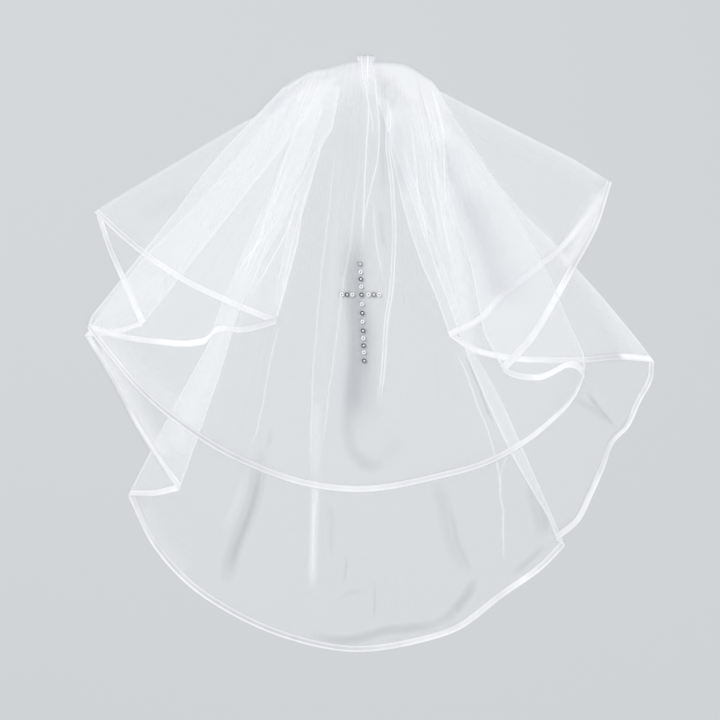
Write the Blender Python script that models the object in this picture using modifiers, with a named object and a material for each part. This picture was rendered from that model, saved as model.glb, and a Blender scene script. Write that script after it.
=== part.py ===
"""First communion veil in two tiers of tulle, laid out flat as it comes from the drawer.

One oval of tulle is folded across at the heading and gathered there, so its short half lies on its long
half. Each half is a fan of panels, folded over one another at both sides like an accordion. A satin ribbon
binds the whole hem, and a small cross of crystals and pearls is set on the front of the upper tier.

The tables are in millimetres, measured from the middle of the heading: x to the right, y up the veil,
z up from the surface that the veil lies on.
"""
import math
from collections import namedtuple
from itertools import accumulate

import bmesh
import bpy
from mathutils import Vector

MM = 0.001

# Sizes of the cloth
WALL = 1.0                      # thickness of every cloth wall
SEAM = 0.3                      # gap at a seam and between two laid layers
LAYER = WALL + SEAM             # rise from one laid layer to the next
FOLD_RADIUS = LAYER / 2         # mid-wall radius of a fold between two layers
FOLD_INSET = FOLD_RADIUS + WALL / 2
FOLD_STEPS = 4                  # straight pieces round one fold
RIBBON = 6.5                    # width of the satin ribbon
HEM_SEAM = 0.55                 # gap between tulle and ribbon, down a column that meets them at a slant
RIBBON_REACH = 1.45             # most that a slanting hem lengthens the ribbon's cut, as a factor
WING_LIP = 3.0                  # cloth that turns under at the wing edges, where the tiers join
COLUMN_STEP = 28.0              # greatest spacing of the wall's columns along the hem
TULLE_ROWS = 4
FRONT_ROWS = 9
TURN_REACH = 7.0                # how far the front panel's turned-down heading edge reaches in
TURN_STEPS = 3

# Sizes of the heading and the cross
GATHER_WIDTH = 17.0
GATHER_DEPTH = 5.0
GATHER_HEIGHT = 8.0
GATHER_PLEATS = 5
GATHER_FLUTE = 0.9              # how deep the gathers are cut between the pleats
GATHER_FRONT = 1.25             # front edge of the gathers, clear of the wall at the heading
GATHER_SIDES = GATHER_PLEATS * 8
CRYSTAL_WIDTH = 4.7
CRYSTAL_HEIGHT = 2.2
CRYSTAL_GIRDLE = (0.3, 0.7)     # heights between which a crystal is at its widest
CRYSTAL_TABLE = 0.55            # flat top of a crystal, as a share of its width
CRYSTAL_SIDES = 8
PEARL_WIDTH = 4.4
PEARL_RINGS = (0, 25, 50, 75)   # angles up a pearl at which it has rings of corners
PEARL_SIDES = 10
CROSS_TOP = Vector((-5.8, -202.2))
CROSS_TILT = math.radians(2.4)
CROSS_BAR = 4                   # place of the crossing stone, counted from 0 at the top
# Distances from stone to stone, glued on by hand: down the upright, then out along each arm.
UPRIGHT_STEPS = (8.1, 6.9, 7.7, 7.9, 9.5, 8.9, 8.5, 9.1, 7.5, 7.3, 6.9, 8.3)
LEFT_ARM_STEPS = (9.2, 5.3, 5.1)
RIGHT_ARM_STEPS = (7.2, 5.1, 5.3)

# A fold runs from the heading to a corner of the hem. bends says how far it leaves the straight line
# between them, in pairs: the share of the way down, and the move to the right.
Fold = namedtuple("Fold", "name start corner bends", defaults=((),))
# A panel lies between two folds. Its layer is counted from the surface; its heading and hem are
# smooth curves from one fold to the next, through the points given here. Where crowd is above 1, the
# threads that run down the panel start closer together at its first fold.
Panel = namedtuple("Panel", "name layer heading hem crowd", defaults=(1.0,))

LEFT_WING_EDGE = Fold("left wing edge", (-110, -54), (-272, -150), ((0.1, -3), (0.9, -3)))
RIGHT_WING_EDGE = Fold("right wing edge", (74, -29), (246, -120), ((0.3, 1.5), (0.55, 4), (0.74, 6)))

UPPER_FOLDS = (
    LEFT_WING_EDGE,
    Fold("left inner", (-24, -26), (-89, -263), ((0.18, 3), (0.25, -3), (0.55, -3.5), (0.65, 0))),
    Fold("front left", (-83, -26), (-278, -266),
         ((0.12, -4), (0.22, -8), (0.35, -10), (0.5, -7), (0.95, -6))),
    Fold("front right", (72, -27), (218, -315),
         ((0.12, 3), (0.36, 13), (0.55, 16.5), (0.68, 16), (0.78, 13.5), (0.92, 11.5), (0.96, 6.5))),
    Fold("right inner", (59, -23), (137, -311),
         ((0.1, 3.5), (0.2, 3), (0.31, -3), (0.42, -11), (0.48, -12), (0.52, -6), (0.64, -4.5),
          (0.86, -10), (0.93, -5))),
    RIGHT_WING_EDGE,
)
UPPER_PANELS = (
    Panel("left wing", 5, ((-90, -34), (-72, -19)), ((-240, -180), (-186, -219), (-130, -246)), 4.0),
    Panel("left return", 6, (), ((-121, -271), (-147, -271.5), (-154, -275), (-160, -282), (-168, -284),
                                 (-206, -283), (-246, -277))),
    Panel("front", 7,
          ((-69, -17.5), (-56, -9.5), (-38, -6), (-14, 0), (12, 0), (42, -3.5), (56, -12), (66, -19)),
          ((-259, -290), (-224, -331), (-186, -363), (-126, -400), (-56, -425), (-6, -430),
           (64, -419), (124, -401), (179, -366), (210, -332))),
    Panel("right return", 6, (), ((209, -307), (200, -306), (193, -309.5), (185, -314), (177, -317.5),
                                  (164, -318.5), (150, -316.5), (142, -313.5))),
    Panel("right wing", 5, ((67, -25),), ((171, -274), (190, -242), (209, -207), (232, -164))),
)

LOWER_FOLDS = (
    LEFT_WING_EDGE,
    Fold("left inner", (-28, -18), (-224, -265)),
    Fold("left outer", (-67, -21), (-282, -274), ((0.3, 1), (0.5, 0), (0.66, -7), (0.8, -6))),
    Fold("left pleat", (-41, -43), (-186, -429), ((0.3, 5), (0.4, -3), (0.53, -8), (0.7, -2.5))),
    Fold("back left", (-54, -30), (-239, -434),
         ((0.2, 3), (0.42, 4), (0.55, 6.5), (0.62, 11), (0.7, 8), (0.8, 4.5))),
    Fold("back right", (22, -38), (200, -484),
         ((0.3, -8), (0.57, -14), (0.62, -9), (0.7, -5), (0.85, -2.5))),
    Fold("knot pleat", (10, -36), (190, -479),
         ((0.3, -9), (0.6, -14.5), (0.7, -13.5), (0.8, -11), (0.88, -5), (0.95, 1))),
    Fold("right outer", (62, -43), (289, -300),
         ((0.15, 4), (0.3, 1), (0.45, 0.5), (0.53, 4.5), (0.75, 5.5), (0.9, 3.5))),
    Fold("right inner", (22, -50), (83, -276),
         ((0.18, -9), (0.4, -11.3), (0.55, -11), (0.69, -8.4), (0.8, -3.6), (0.9, -1.5))),
    RIGHT_WING_EDGE,
)
LOWER_PANELS = (
    Panel("left wing", 4, ((-90, -34), (-70, -21)), ((-259, -186), (-242, -225)), 4.0),
    Panel("left return", 3, (), ((-251, -273),)),
    Panel("left flap", 2, (), ((-263, -305), (-226, -371), (-203, -407))),
    Panel("left pleat", 1, (), ((-211, -434),)),
    Panel("back", 0, ((-32, -12), (0, -9)),
          ((-216, -480), (-181, -521), (-136, -552), (-76, -578), (-13, -590), (54, -581), (89, -570),
           (139, -534), (179, -505))),
    Panel("knot pleat", 1, (), ()),
    Panel("right flap", 2, ((36, -16),),
          ((214, -459), (226, -435), (238, -408), (250, -379), (261, -368), (275, -340), (287, -316))),
    Panel("right return", 3, (), ((254, -298), (217, -301), (181, -301), (144, -299), (109, -291))),
    Panel("right wing", 4, ((44, -26),), ((115, -260), (137, -237), (164, -215), (196, -189), (226, -152))),
)

# Beyond these lines fewer layers lie below, so every layer steps down: start and end of the line,
# how many layers it steps down, and over what distance. The step is on the line's outer side.
Step = namedtuple("Step", "name start end layers run")
STEPS = (
    Step("left flap", (-55, -30), (-240, -434), 2, 55.0),
    Step("left wing", (-73, -18), (-287, -271), 2, 50.0),
    Step("right flap", (201, -484), (23, -38), 2, 55.0),
    Step("right wing", (294, -297), (66, -40), 2, 50.0),
)

# The front panel hangs down between the folded sides: how far down the veil (0 heading, 1 hem), the
# share of the full sag there, and where the sag starts at its left and right, across the panel.
Sag = namedtuple("Sag", "down share left right")
FRONT_SAG = (
    Sag(0.00, 0.00, 0.37, 0.62),
    Sag(0.10, 0.12, 0.37, 0.62),
    Sag(0.22, 0.62, 0.37, 0.63),
    Sag(0.38, 1.00, 0.37, 0.665),
    Sag(0.62, 1.00, 0.38, 0.70),
    Sag(0.72, 1.00, 0.34, 0.74),
    Sag(1.00, 1.00, 0.30, 0.78),
)
SAG_LAYERS = 6
SAG_SHOULDER = 0.08             # part of the panel's width over which the sag comes in

# Narrow pleats pressed into the front panel: place across it, half width, height and lower end.
Pleat = namedtuple("Pleat", "across half_width height end")
FRONT_PLEATS = (
    Pleat(0.180, 0.014, 1.6, 0.60),
    Pleat(0.500, 0.016, 2.4, 0.42),
    Pleat(0.618, 0.012, 2.4, 0.74),
    Pleat(0.800, 0.014, 1.6, 0.66),
)

# The gathers are a stack of rings: height and size of each, as shares of the whole.
GatherRing = namedtuple("GatherRing", "level scale")
GATHER_RINGS = (GatherRing(0.0, 1.0), GatherRing(0.62, 1.0), GatherRing(0.88, 0.86), GatherRing(1.0, 0.6))

# A column of the wall runs from the heading to the hem. It bends as the folds at its left and right do.
Column = namedtuple("Column", "top hem left right height ribbon panel across")


# ---------------------------------------------------------------- curves and blends

def smooth(low, high, value):
    """0 below low, 1 above high, and an even curve between."""
    part = min(max((value - low) / (high - low), 0.0), 1.0)
    return part * part * (3.0 - 2.0 * part)


def curve_point(points, place):
    """A point of the smooth curve through the points, at a whole or broken number of points along."""
    last = len(points) - 1
    first = min(int(place), last - 1)
    part = place - first
    here, there = points[first], points[first + 1]
    before = points[first - 1] if first > 0 else here * 2 - there
    after = points[first + 2] if first + 2 <= last else there * 2 - here
    chord = (there - here).length
    leave = slope(before, here, there) * chord
    arrive = slope(here, there, after) * chord
    square, cube = part * part, part ** 3
    return (here * (2 * cube - 3 * square + 1) + leave * (cube - 2 * square + part)
            + there * (3 * square - 2 * cube) + arrive * (cube - square))


def slope(before, here, after):
    """Direction of the curve at a point, weighted to the nearer neighbour."""
    back, front = (here - before).length, (after - here).length
    return ((here - before) / back * front + (after - here) / front * back) / (back + front)


def even_curve(points, shares, fine=24):
    """Points at the given shares of the curve's length, with the curve's direction at each."""
    count = (len(points) - 1) * fine
    dense = [curve_point(points, step / fine) for step in range(count + 1)]
    run = [0.0]
    for here, there in zip(dense, dense[1:]):
        run.append(run[-1] + (there - here).length)
    found = []
    for share in shares:
        goal = share * run[-1]
        place = next((i for i in range(1, count) if run[i] >= goal), count)
        part = (goal - run[place - 1]) / (run[place] - run[place - 1])
        step = dense[place] - dense[place - 1]
        found.append((dense[place - 1] + step * part, step.normalized()))
    return found


def curve_length(points):
    ends = [point for point, _ in even_curve(points, [i / 40 for i in range(41)])]
    return sum((there - here).length for here, there in zip(ends, ends[1:]))


# ---------------------------------------------------------------- columns of a tier

def fold_inward(fold, inward):
    """Unit vector across a fold, towards the panels; inward is 1 at a left fold and -1 at a right one."""
    along = (Vector(fold.corner) - Vector(fold.start)).normalized()
    across = Vector((-along.y, along.x))
    return across if across.x * inward > 0 else -across


def ribbon_cut(hem_way, column_way):
    """Length of the ribbon's width, measured along a column that meets the hem at a slant."""
    slant = abs(hem_way.x * column_way.y - hem_way.y * column_way.x)
    return RIBBON * min(1.0 / max(slant, 0.1), RIBBON_REACH)


def across_shares(panel, length):
    """Where a panel's columns stand, as shares of its width."""
    count = max(2, math.ceil(length / COLUMN_STEP))
    shares = [i / count for i in range(count + 1)]
    if panel.name == "front":
        edges = [p.across + side * p.half_width for p in FRONT_PLEATS for side in (-1, 0, 1)]
        keep = [s for s in shares if all(abs(s - e) > 0.011 for e in edges)]
        shares = sorted(keep + edges)
    return shares


def bend_at(bends, down):
    """How far a fold leaves its straight line, at a share of the way down."""
    knots = ((0.0, 0.0), *bends, (1.0, 0.0))
    (low, here), (high, there) = next(pair for pair in zip(knots, knots[1:]) if down <= pair[1][0])
    return here + (there - here) * (down - low) / (high - low)


def panel_columns(panel, left, right, left_inset, right_inset):
    """The columns of one panel, from its first fold to its second."""
    start_move = fold_inward(left, left_inset[0]) * left_inset[1]
    end_move = fold_inward(right, right_inset[0]) * right_inset[1]
    tops = [Vector(left.start) + start_move, *map(Vector, panel.heading), Vector(right.start) + end_move]
    hems = [Vector(left.corner) + start_move, *map(Vector, panel.hem), Vector(right.corner) + end_move]
    shares = across_shares(panel, curve_length(hems))
    starts = even_curve(tops, [share ** panel.crowd for share in shares])
    columns = []
    for share, (top, _), (hem, way) in zip(shares, starts, even_curve(hems, shares)):
        cut = ribbon_cut(way, (hem - top).normalized())
        height = WALL / 2 + panel.layer * LAYER
        columns.append(Column(top, hem, left.bends, right.bends, height, cut, panel.name, share))
    return columns


def fold_columns(before, after, inward, bends):
    """The columns round a fold, between the last column of one panel and the first of the next."""
    middle = (before.height + after.height) / 2
    rise = (after.height - before.height) / 2
    found = []
    for step in range(1, FOLD_STEPS):
        turn = math.pi * (step / FOLD_STEPS - 0.5)
        move = -inward * abs(rise) * math.cos(turn)
        height = middle + rise * math.sin(turn)
        found.append(Column(before.top + move, before.hem + move, bends, bends, height,
                            before.ribbon, "fold", 0.0))
    return found


def match_ribbon(before, after):
    """The ribbon is cut alike on the two panels that meet at a fold."""
    cut = (before.ribbon + after.ribbon) / 2
    return before._replace(ribbon=cut), after._replace(ribbon=cut)


def wing_lip(edge, column, inward, layer):
    """The short strip that a wing edge turns under, on the layer below or above its panel."""
    move = inward * WING_LIP
    height = WALL / 2 + layer * LAYER
    base = column._replace(height=height, panel="lip")
    return base, base._replace(top=base.top + move, hem=base.hem + move)


def tier_columns(folds, panels, lip_layer):
    """All columns of a tier, from wing edge to wing edge. lip_layer is None where a tier has no lips."""
    outer = FOLD_INSET if lip_layer is not None else FOLD_INSET + WING_LIP + SEAM
    found = []
    for index, panel in enumerate(panels):
        left, right = folds[index], folds[index + 1]
        way = 1 if index % 2 == 0 else -1
        left_inset = (way, outer if index == 0 else FOLD_INSET)
        right_inset = (-way, outer if index == len(panels) - 1 else FOLD_INSET)
        columns = panel_columns(panel, left, right, left_inset, right_inset)
        if found:
            found[-1], columns[0] = match_ribbon(found[-1], columns[0])
            found += fold_columns(found[-1], columns[0], fold_inward(left, way), left.bends)
        found += columns
    if lip_layer is not None:
        for end, edge, way in ((0, folds[0], 1), (-1, folds[-1], -1)):
            inward = fold_inward(edge, way)
            base, tip = wing_lip(edge, found[end], inward, lip_layer)
            turned = [tip, base, *fold_columns(base, found[end], inward, edge.bends)]
            found = turned + found if end == 0 else found + turned[::-1]
    return found


# ---------------------------------------------------------------- heights

def step_down(x, y):
    """How far the layers lie lower at a point, because fewer layers are under it."""
    fall = 0.0
    for step in STEPS:
        start, end = Vector(step.start), Vector(step.end)
        along = (end - start).normalized()
        beyond = (x - start.x) * along.y - (y - start.y) * along.x
        fall += step.layers * LAYER * min(max(beyond / step.run, 0.0), 1.0)
    return fall


def sag_at(across, down):
    """Fall of the front panel between the folded sides."""
    rows = list(zip(FRONT_SAG, FRONT_SAG[1:]))
    low, high = next((pair for pair in rows if down <= pair[1].down), rows[-1])
    part = (down - low.down) / (high.down - low.down)
    share, left, right = (a + (b - a) * part for a, b in zip(low[1:], high[1:]))
    inside = smooth(left, left + SAG_SHOULDER, across) * (1 - smooth(right - SAG_SHOULDER, right, across))
    return SAG_LAYERS * LAYER * share * inside


def pleat_at(across, down):
    """Height of the narrow pleats on the front panel."""
    height = 0.0
    for pleat in FRONT_PLEATS:
        crest = max(0.0, 1.0 - abs(across - pleat.across) / pleat.half_width)
        fade = 1 - smooth(pleat.end * 0.6, pleat.end, down)
        height += pleat.height * crest * smooth(0.0, 0.1, down) * fade
    return height


def front_height(column, point, down, reach):
    """Mid-wall height of the front panel, with its heading edge turned down to the surface."""
    height = column.height - sag_at(column.across, down) + pleat_at(column.across, down)
    turned = smooth(0.0, 0.08, column.across) * (1 - smooth(0.92, 1.0, column.across))
    inner = min(reach / TURN_REACH, 1.0)
    round_off = math.sqrt(max(0.0, 1.0 - (1.0 - inner) ** 2))
    low = WALL / 2 + step_down(point.x, point.y)
    return height + (low - height) * turned * (1.0 - round_off)


# ---------------------------------------------------------------- walls

def column_points(column, reaches):
    """Points down a column, at these distances from its top."""
    run = column.hem - column.top
    length = run.length
    found = []
    for reach in reaches:
        down = reach / length
        point = column.top + run * down
        bend = bend_at(column.left, down)
        bend += (bend_at(column.right, down) - bend) * column.across
        point = Vector((point.x + bend, point.y))
        height = column.height
        if column.panel == "front":
            height = front_height(column, point, down, reach)
        found.append(Vector((point.x, point.y, height)))
    return found


def tulle_reaches(column, front):
    """Distances down a column to the rows of the tulle, which ends a seam short of the ribbon."""
    edge = (column.hem - column.top).length - column.ribbon - HEM_SEAM
    if not front:
        return [edge * row / TULLE_ROWS for row in range(TULLE_ROWS + 1)]
    turn = [TURN_REACH * (1 - math.cos(math.pi / 2 * step / TURN_STEPS)) for step in range(TURN_STEPS)]
    rows = [TURN_REACH + (edge - TURN_REACH) * row / FRONT_ROWS for row in range(FRONT_ROWS + 1)]
    return turn + rows


def ribbon_reaches(column):
    length = (column.hem - column.top).length
    return [length - column.ribbon, length]


def wall(name, grid, material):
    """A solid wall of even thickness about a grid of mid-wall points, stepped down over the layers."""
    mesh = bpy.data.meshes.new(name)
    shape = bmesh.new()
    rows = [[shape.verts.new(point) for point in line] for line in grid]
    for here, there in zip(rows, rows[1:]):
        for i in range(len(here) - 1):
            shape.faces.new((here[i], here[i + 1], there[i + 1], there[i]))
    bmesh.ops.recalc_face_normals(shape, faces=shape.faces)
    shape.to_mesh(mesh)
    shape.free()
    item = bpy.data.objects.new(name, mesh)
    bpy.context.scene.collection.objects.link(item)
    solid = item.modifiers.new("Wall", "SOLIDIFY")
    solid.thickness = WALL
    solid.offset = 0.0
    solid.use_even_offset = True
    solid.use_rim = True
    depsgraph = bpy.context.evaluated_depsgraph_get()
    thick = bpy.data.meshes.new_from_object(item.evaluated_get(depsgraph))
    item.modifiers.clear()
    item.data = thick
    bpy.data.meshes.remove(mesh)
    thick.name = name
    lower_onto_layers(thick)
    thick.materials.append(material)
    return item


def lower_onto_layers(mesh):
    """Cuts a wall along the lines where the layers step down, then lowers its points."""
    shape = bmesh.new()
    shape.from_mesh(mesh)
    for step in STEPS:
        start, end = Vector(step.start), Vector(step.end)
        along = (end - start).normalized()
        out = Vector((along.y, -along.x))
        for reach in (0.0, step.run):
            where = start + out * reach
            bmesh.ops.bisect_plane(shape, geom=shape.verts[:] + shape.edges[:] + shape.faces[:], dist=0.001,
                                   plane_co=(where.x, where.y, 0.0), plane_no=(out.x, out.y, 0.0))
    for vert in shape.verts:
        vert.co.z -= step_down(vert.co.x, vert.co.y)
    bmesh.ops.triangulate(shape, faces=shape.faces)
    bmesh.ops.recalc_face_normals(shape, faces=shape.faces)
    for vert in shape.verts:
        vert.co *= MM
    shape.to_mesh(mesh)
    shape.free()


def tier(name, folds, panels, lip_layer, cloth, satin):
    """One tier as two solids, its tulle and the ribbon round its hem."""
    columns = tier_columns(folds, panels, lip_layer)
    front = any(column.panel == "front" for column in columns)
    tulle = [column_points(column, tulle_reaches(column, front)) for column in columns]
    ribbon = [column_points(column, ribbon_reaches(column)) for column in columns]
    return [wall(f"{name}_tulle", tulle, cloth), wall(f"{name}_ribbon", ribbon, satin)]


# ---------------------------------------------------------------- heading and cross

def heading_gather(material):
    """The tuft of stitched pleats at the middle of the heading, flat below and rounded above."""
    shape = bmesh.new()
    middle = GATHER_FRONT + GATHER_DEPTH / 2
    loops = []
    for ring in GATHER_RINGS:
        loop = []
        for side in range(GATHER_SIDES):
            turn = 2 * math.pi * side / GATHER_SIDES
            flute = 1 - GATHER_FLUTE / GATHER_DEPTH * (0.5 - 0.5 * math.cos(GATHER_PLEATS * 2 * turn))
            x = GATHER_WIDTH / 2 * ring.scale * flute * squared(math.cos(turn))
            y = GATHER_DEPTH / 2 * ring.scale * flute * squared(math.sin(turn))
            loop.append(shape.verts.new((x, y + middle, GATHER_HEIGHT * ring.level)))
        loops.append(loop)
    close_loops(shape, loops)
    return finish_mesh("heading_gather", shape, material)


def squared(value):
    """Swells a circle's sine or cosine, so that the circle becomes a rounded oblong."""
    return math.copysign(abs(value) ** 0.7, value)


def close_loops(shape, loops):
    """Faces between rings of points, and across the first and last ring."""
    for low, high in zip(loops, loops[1:]):
        count = len(low)
        for i in range(count):
            shape.faces.new((low[i], low[(i + 1) % count], high[(i + 1) % count], high[i]))
    shape.faces.new(loops[0][::-1])
    shape.faces.new(loops[-1])


def finish_mesh(name, shape, material):
    """Turns a closed shape in millimetres into a named object in metres."""
    bmesh.ops.recalc_face_normals(shape, faces=shape.faces)
    for vert in shape.verts:
        vert.co *= MM
    mesh = bpy.data.meshes.new(name)
    shape.to_mesh(mesh)
    shape.free()
    mesh.materials.append(material)
    item = bpy.data.objects.new(name, mesh)
    bpy.context.scene.collection.objects.link(item)
    return item


def turned_stone(name, place, profile, sides, material):
    """A flat-backed stone: rings of the profile's radius and height, closed at both ends."""
    shape = bmesh.new()
    loops = []
    for radius, height in profile:
        ring = [2 * math.pi * side / sides for side in range(sides)]
        loops.append([shape.verts.new((place.x + radius * math.cos(turn), place.y + radius * math.sin(turn),
                                       place.z + height)) for turn in ring])
    close_loops(shape, loops)
    return finish_mesh(name, shape, material)


def crystal(name, place, material):
    """A foil-backed stone: a short girdle and one row of facets up to a flat table."""
    radius = CRYSTAL_WIDTH / 2
    profile = ((radius * 0.9, 0.0), (radius, CRYSTAL_GIRDLE[0]), (radius, CRYSTAL_GIRDLE[1]),
               (radius * CRYSTAL_TABLE, CRYSTAL_HEIGHT))
    return turned_stone(name, place, profile, CRYSTAL_SIDES, material)


def pearl(name, place, material):
    """Half a round pearl, flat at its back."""
    radius = PEARL_WIDTH / 2
    turns = [math.radians(angle) for angle in PEARL_RINGS]
    profile = [(radius * math.cos(turn), radius * math.sin(turn)) for turn in turns]
    return turned_stone(name, place, profile, PEARL_SIDES, material)


def cross_places():
    """Place and kind of each stone: crystals and pearls take turns down the upright and out along an arm."""
    down = Vector((math.sin(CROSS_TILT), -math.cos(CROSS_TILT)))
    places = [(CROSS_TOP + down * reach, index % 2 == 0)
              for index, reach in enumerate(accumulate(UPRIGHT_STEPS, initial=0.0))]
    middle = places[CROSS_BAR][0]
    for way, steps in ((-1, LEFT_ARM_STEPS), (1, RIGHT_ARM_STEPS)):
        for index, reach in enumerate(accumulate(steps)):
            places.append((middle + Vector((way * reach, 0.0)), index % 2 == 1))
    return places


def cross(crystal_material, pearl_material):
    """The stones stand a seam above the front panel, where it has sagged to its lowest."""
    height = (7 - SAG_LAYERS) * LAYER + WALL + SEAM
    items = []
    counts = {True: 0, False: 0}
    for point, is_crystal in cross_places():
        counts[is_crystal] += 1
        place = Vector((point.x, point.y, height))
        if is_crystal:
            items.append(crystal(f"crystal_{counts[True]:02d}", place, crystal_material))
        else:
            items.append(pearl(f"pearl_{counts[False]:02d}", place, pearl_material))
    return items


# ---------------------------------------------------------------- the whole veil

def finish(name, colour, roughness, metallic=0.0):
    material = bpy.data.materials.new(name)
    material.use_nodes = True
    shader = material.node_tree.nodes["Principled BSDF"]
    shader.inputs["Base Color"].default_value = (*colour, 1.0)
    shader.inputs["Roughness"].default_value = roughness
    shader.inputs["Metallic"].default_value = metallic
    return material


def centre_on_origin(items):
    """Moves the veil so that the middle of its footprint is the origin."""
    points = [vert.co for item in items for vert in item.data.vertices]
    middle_x = (min(p.x for p in points) + max(p.x for p in points)) / 2
    middle_y = (min(p.y for p in points) + max(p.y for p in points)) / 2
    for item in items:
        for vert in item.data.vertices:
            vert.co.x -= middle_x
            vert.co.y -= middle_y


def main():
    for item in list(bpy.data.objects):
        bpy.data.objects.remove(item, do_unlink=True)
    tulle = finish("White tulle", (0.86, 0.87, 0.88), 0.9)
    lower_tulle = finish("White tulle, lower tier", (0.80, 0.81, 0.83), 0.9)
    satin = finish("White satin", (0.93, 0.93, 0.95), 0.35)
    lower_satin = finish("White satin, lower tier", (0.90, 0.90, 0.93), 0.35)
    gathered = finish("Gathered tulle", (0.90, 0.90, 0.91), 0.9)
    glass = finish("Foiled crystal", (0.32, 0.33, 0.35), 0.12, 0.6)
    nacre = finish("Pearl", (0.92, 0.91, 0.89), 0.25)

    items = tier("lower", LOWER_FOLDS, LOWER_PANELS, None, lower_tulle, lower_satin)
    items += tier("upper", UPPER_FOLDS, UPPER_PANELS, 4, tulle, satin)
    items.append(heading_gather(gathered))
    items += cross(glass, nacre)
    centre_on_origin(items)

    collection = bpy.data.collections.new("Communion veil")
    bpy.context.scene.collection.children.link(collection)
    for item in items:
        bpy.context.scene.collection.objects.unlink(item)
        collection.objects.link(item)


main()
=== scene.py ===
"""First communion veil in two tiers of tulle, laid out flat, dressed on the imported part.

The add-on makes the tulle of both tiers, the satin ribbon round their hems, the gathered heading, the cross
of crystals and pearls, and the stage. Tables are in millimetres from the middle of the heading: x to the
right, y up the veil, z up from the surface that the veil lies on.
"""
import math
from collections import namedtuple

import bmesh
import bpy
import numpy as np
from bpy.props import FloatProperty, FloatVectorProperty, IntProperty, PointerProperty
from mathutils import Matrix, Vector
from mathutils.kdtree import KDTree


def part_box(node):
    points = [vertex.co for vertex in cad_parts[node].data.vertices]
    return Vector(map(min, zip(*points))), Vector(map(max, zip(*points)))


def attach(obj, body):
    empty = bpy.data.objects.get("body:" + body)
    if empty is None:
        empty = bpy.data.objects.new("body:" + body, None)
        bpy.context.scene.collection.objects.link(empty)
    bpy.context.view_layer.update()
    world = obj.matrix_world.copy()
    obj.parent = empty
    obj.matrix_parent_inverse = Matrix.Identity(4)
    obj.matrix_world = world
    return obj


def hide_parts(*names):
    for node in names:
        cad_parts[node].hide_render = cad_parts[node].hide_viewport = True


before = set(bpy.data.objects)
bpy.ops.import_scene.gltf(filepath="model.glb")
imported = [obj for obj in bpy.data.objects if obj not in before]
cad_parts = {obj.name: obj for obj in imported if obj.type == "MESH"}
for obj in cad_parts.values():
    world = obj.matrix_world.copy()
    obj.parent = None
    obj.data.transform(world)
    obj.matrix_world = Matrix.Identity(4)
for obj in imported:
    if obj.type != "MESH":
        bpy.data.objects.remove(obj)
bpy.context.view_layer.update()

bl_info = {
    "name": "Communion veil",
    "version": (1, 0, 0),
    "blender": (4, 5, 0),
    "location": "3D View > Sidebar > Veil",
    "description": "Makes a two-tier tulle communion veil, laid out flat on its packed part",
    "category": "Object",
}

MM = 0.001

# Sizes that the cloth shares with its solids
WALL = 1.0                      # thickness of a cloth solid, about whose middle the tulle lies
LAYER = 1.3                     # rise from one laid layer to the next
FOLD_RADIUS = LAYER / 2
FOLD_INSET = FOLD_RADIUS + WALL / 2
RIBBON = 6.5                    # width of the ribbon on either face of the tulle
TULLE_UNDER = 0.5               # how far the tulle's mesh goes under the ribbon, as a share of its width
RIBBON_REACH = 1.45             # most widths of ribbon that a slanting thread runs under
WING_LIP = 3.0                  # how far the upper tier turns under at its wing edges
TURN_REACH = 7.0                # how far the front panel's turned-down heading edge reaches in
TURN_ROWS = 6                   # rows of the mesh over that edge
TURN_SHOULDER = 0.08            # share of the panel over which the edge starts to turn, from either side
GATHER_MIDDLE = 3.75            # middle of the gathers, up from the heading
GATHER_WIDTH = 17.0             # of the gathers, which their rows of stitches cross
FLOOR_CLEAR = 0.1               # least height of a strip's points above the floor

# bends are pairs: a share of the way down a fold, and how far it lies to the right of the straight line
# there. press is how sharply the fold is pressed, from 0 to 1.
Fold = namedtuple("Fold", "name start corner bends press", defaults=((), 0.6))
Panel = namedtuple("Panel", "name layer heading hem crowd", defaults=(1.0,))

LEFT_WING_EDGE = Fold("left wing edge", (-110, -54), (-272, -150), ((0.1, -3), (0.9, -3)), 0.15)
RIGHT_WING_EDGE = Fold("right wing edge", (74, -29), (246, -120), ((0.3, 1.5), (0.55, 4), (0.74, 6)), 0.15)

UPPER_FOLDS = (
    LEFT_WING_EDGE,
    Fold("left inner", (-24, -26), (-89, -263), ((0.18, 3), (0.25, -3), (0.55, -3.5), (0.65, 0))),
    Fold("front left", (-83, -26), (-278, -266),
         ((0.12, -4), (0.22, -8), (0.35, -10), (0.5, -7), (0.95, -6))),
    Fold("front right", (72, -27), (218, -315),
         ((0.12, 3), (0.36, 13), (0.55, 16.5), (0.68, 16), (0.78, 13.5), (0.92, 11.5), (0.96, 6.5))),
    Fold("right inner", (59, -23), (137, -311),
         ((0.1, 3.5), (0.2, 3), (0.31, -3), (0.42, -11), (0.48, -12), (0.52, -6), (0.64, -4.5),
          (0.86, -10), (0.93, -5))),
    RIGHT_WING_EDGE,
)
UPPER_PANELS = (
    Panel("left wing", 5, ((-90, -34), (-72, -19)), ((-240, -180), (-186, -219), (-130, -246)), 4.0),
    Panel("left return", 6, (), ((-121, -271), (-147, -271.5), (-154, -275), (-160, -282), (-168, -284),
                                 (-206, -283), (-246, -277))),
    Panel("front", 7,
          ((-69, -17.5), (-56, -9.5), (-38, -6), (-14, 0), (12, 0), (42, -3.5), (56, -12), (66, -19)),
          ((-259, -290), (-224, -331), (-186, -363), (-126, -400), (-56, -425), (-6, -430),
           (64, -419), (124, -401), (179, -366), (210, -332))),
    Panel("right return", 6, (), ((209, -307), (200, -306), (193, -309.5), (185, -314), (177, -317.5),
                                  (164, -318.5), (150, -316.5), (142, -313.5))),
    Panel("right wing", 5, ((67, -25),), ((171, -274), (190, -242), (209, -207), (232, -164))),
)

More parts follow.
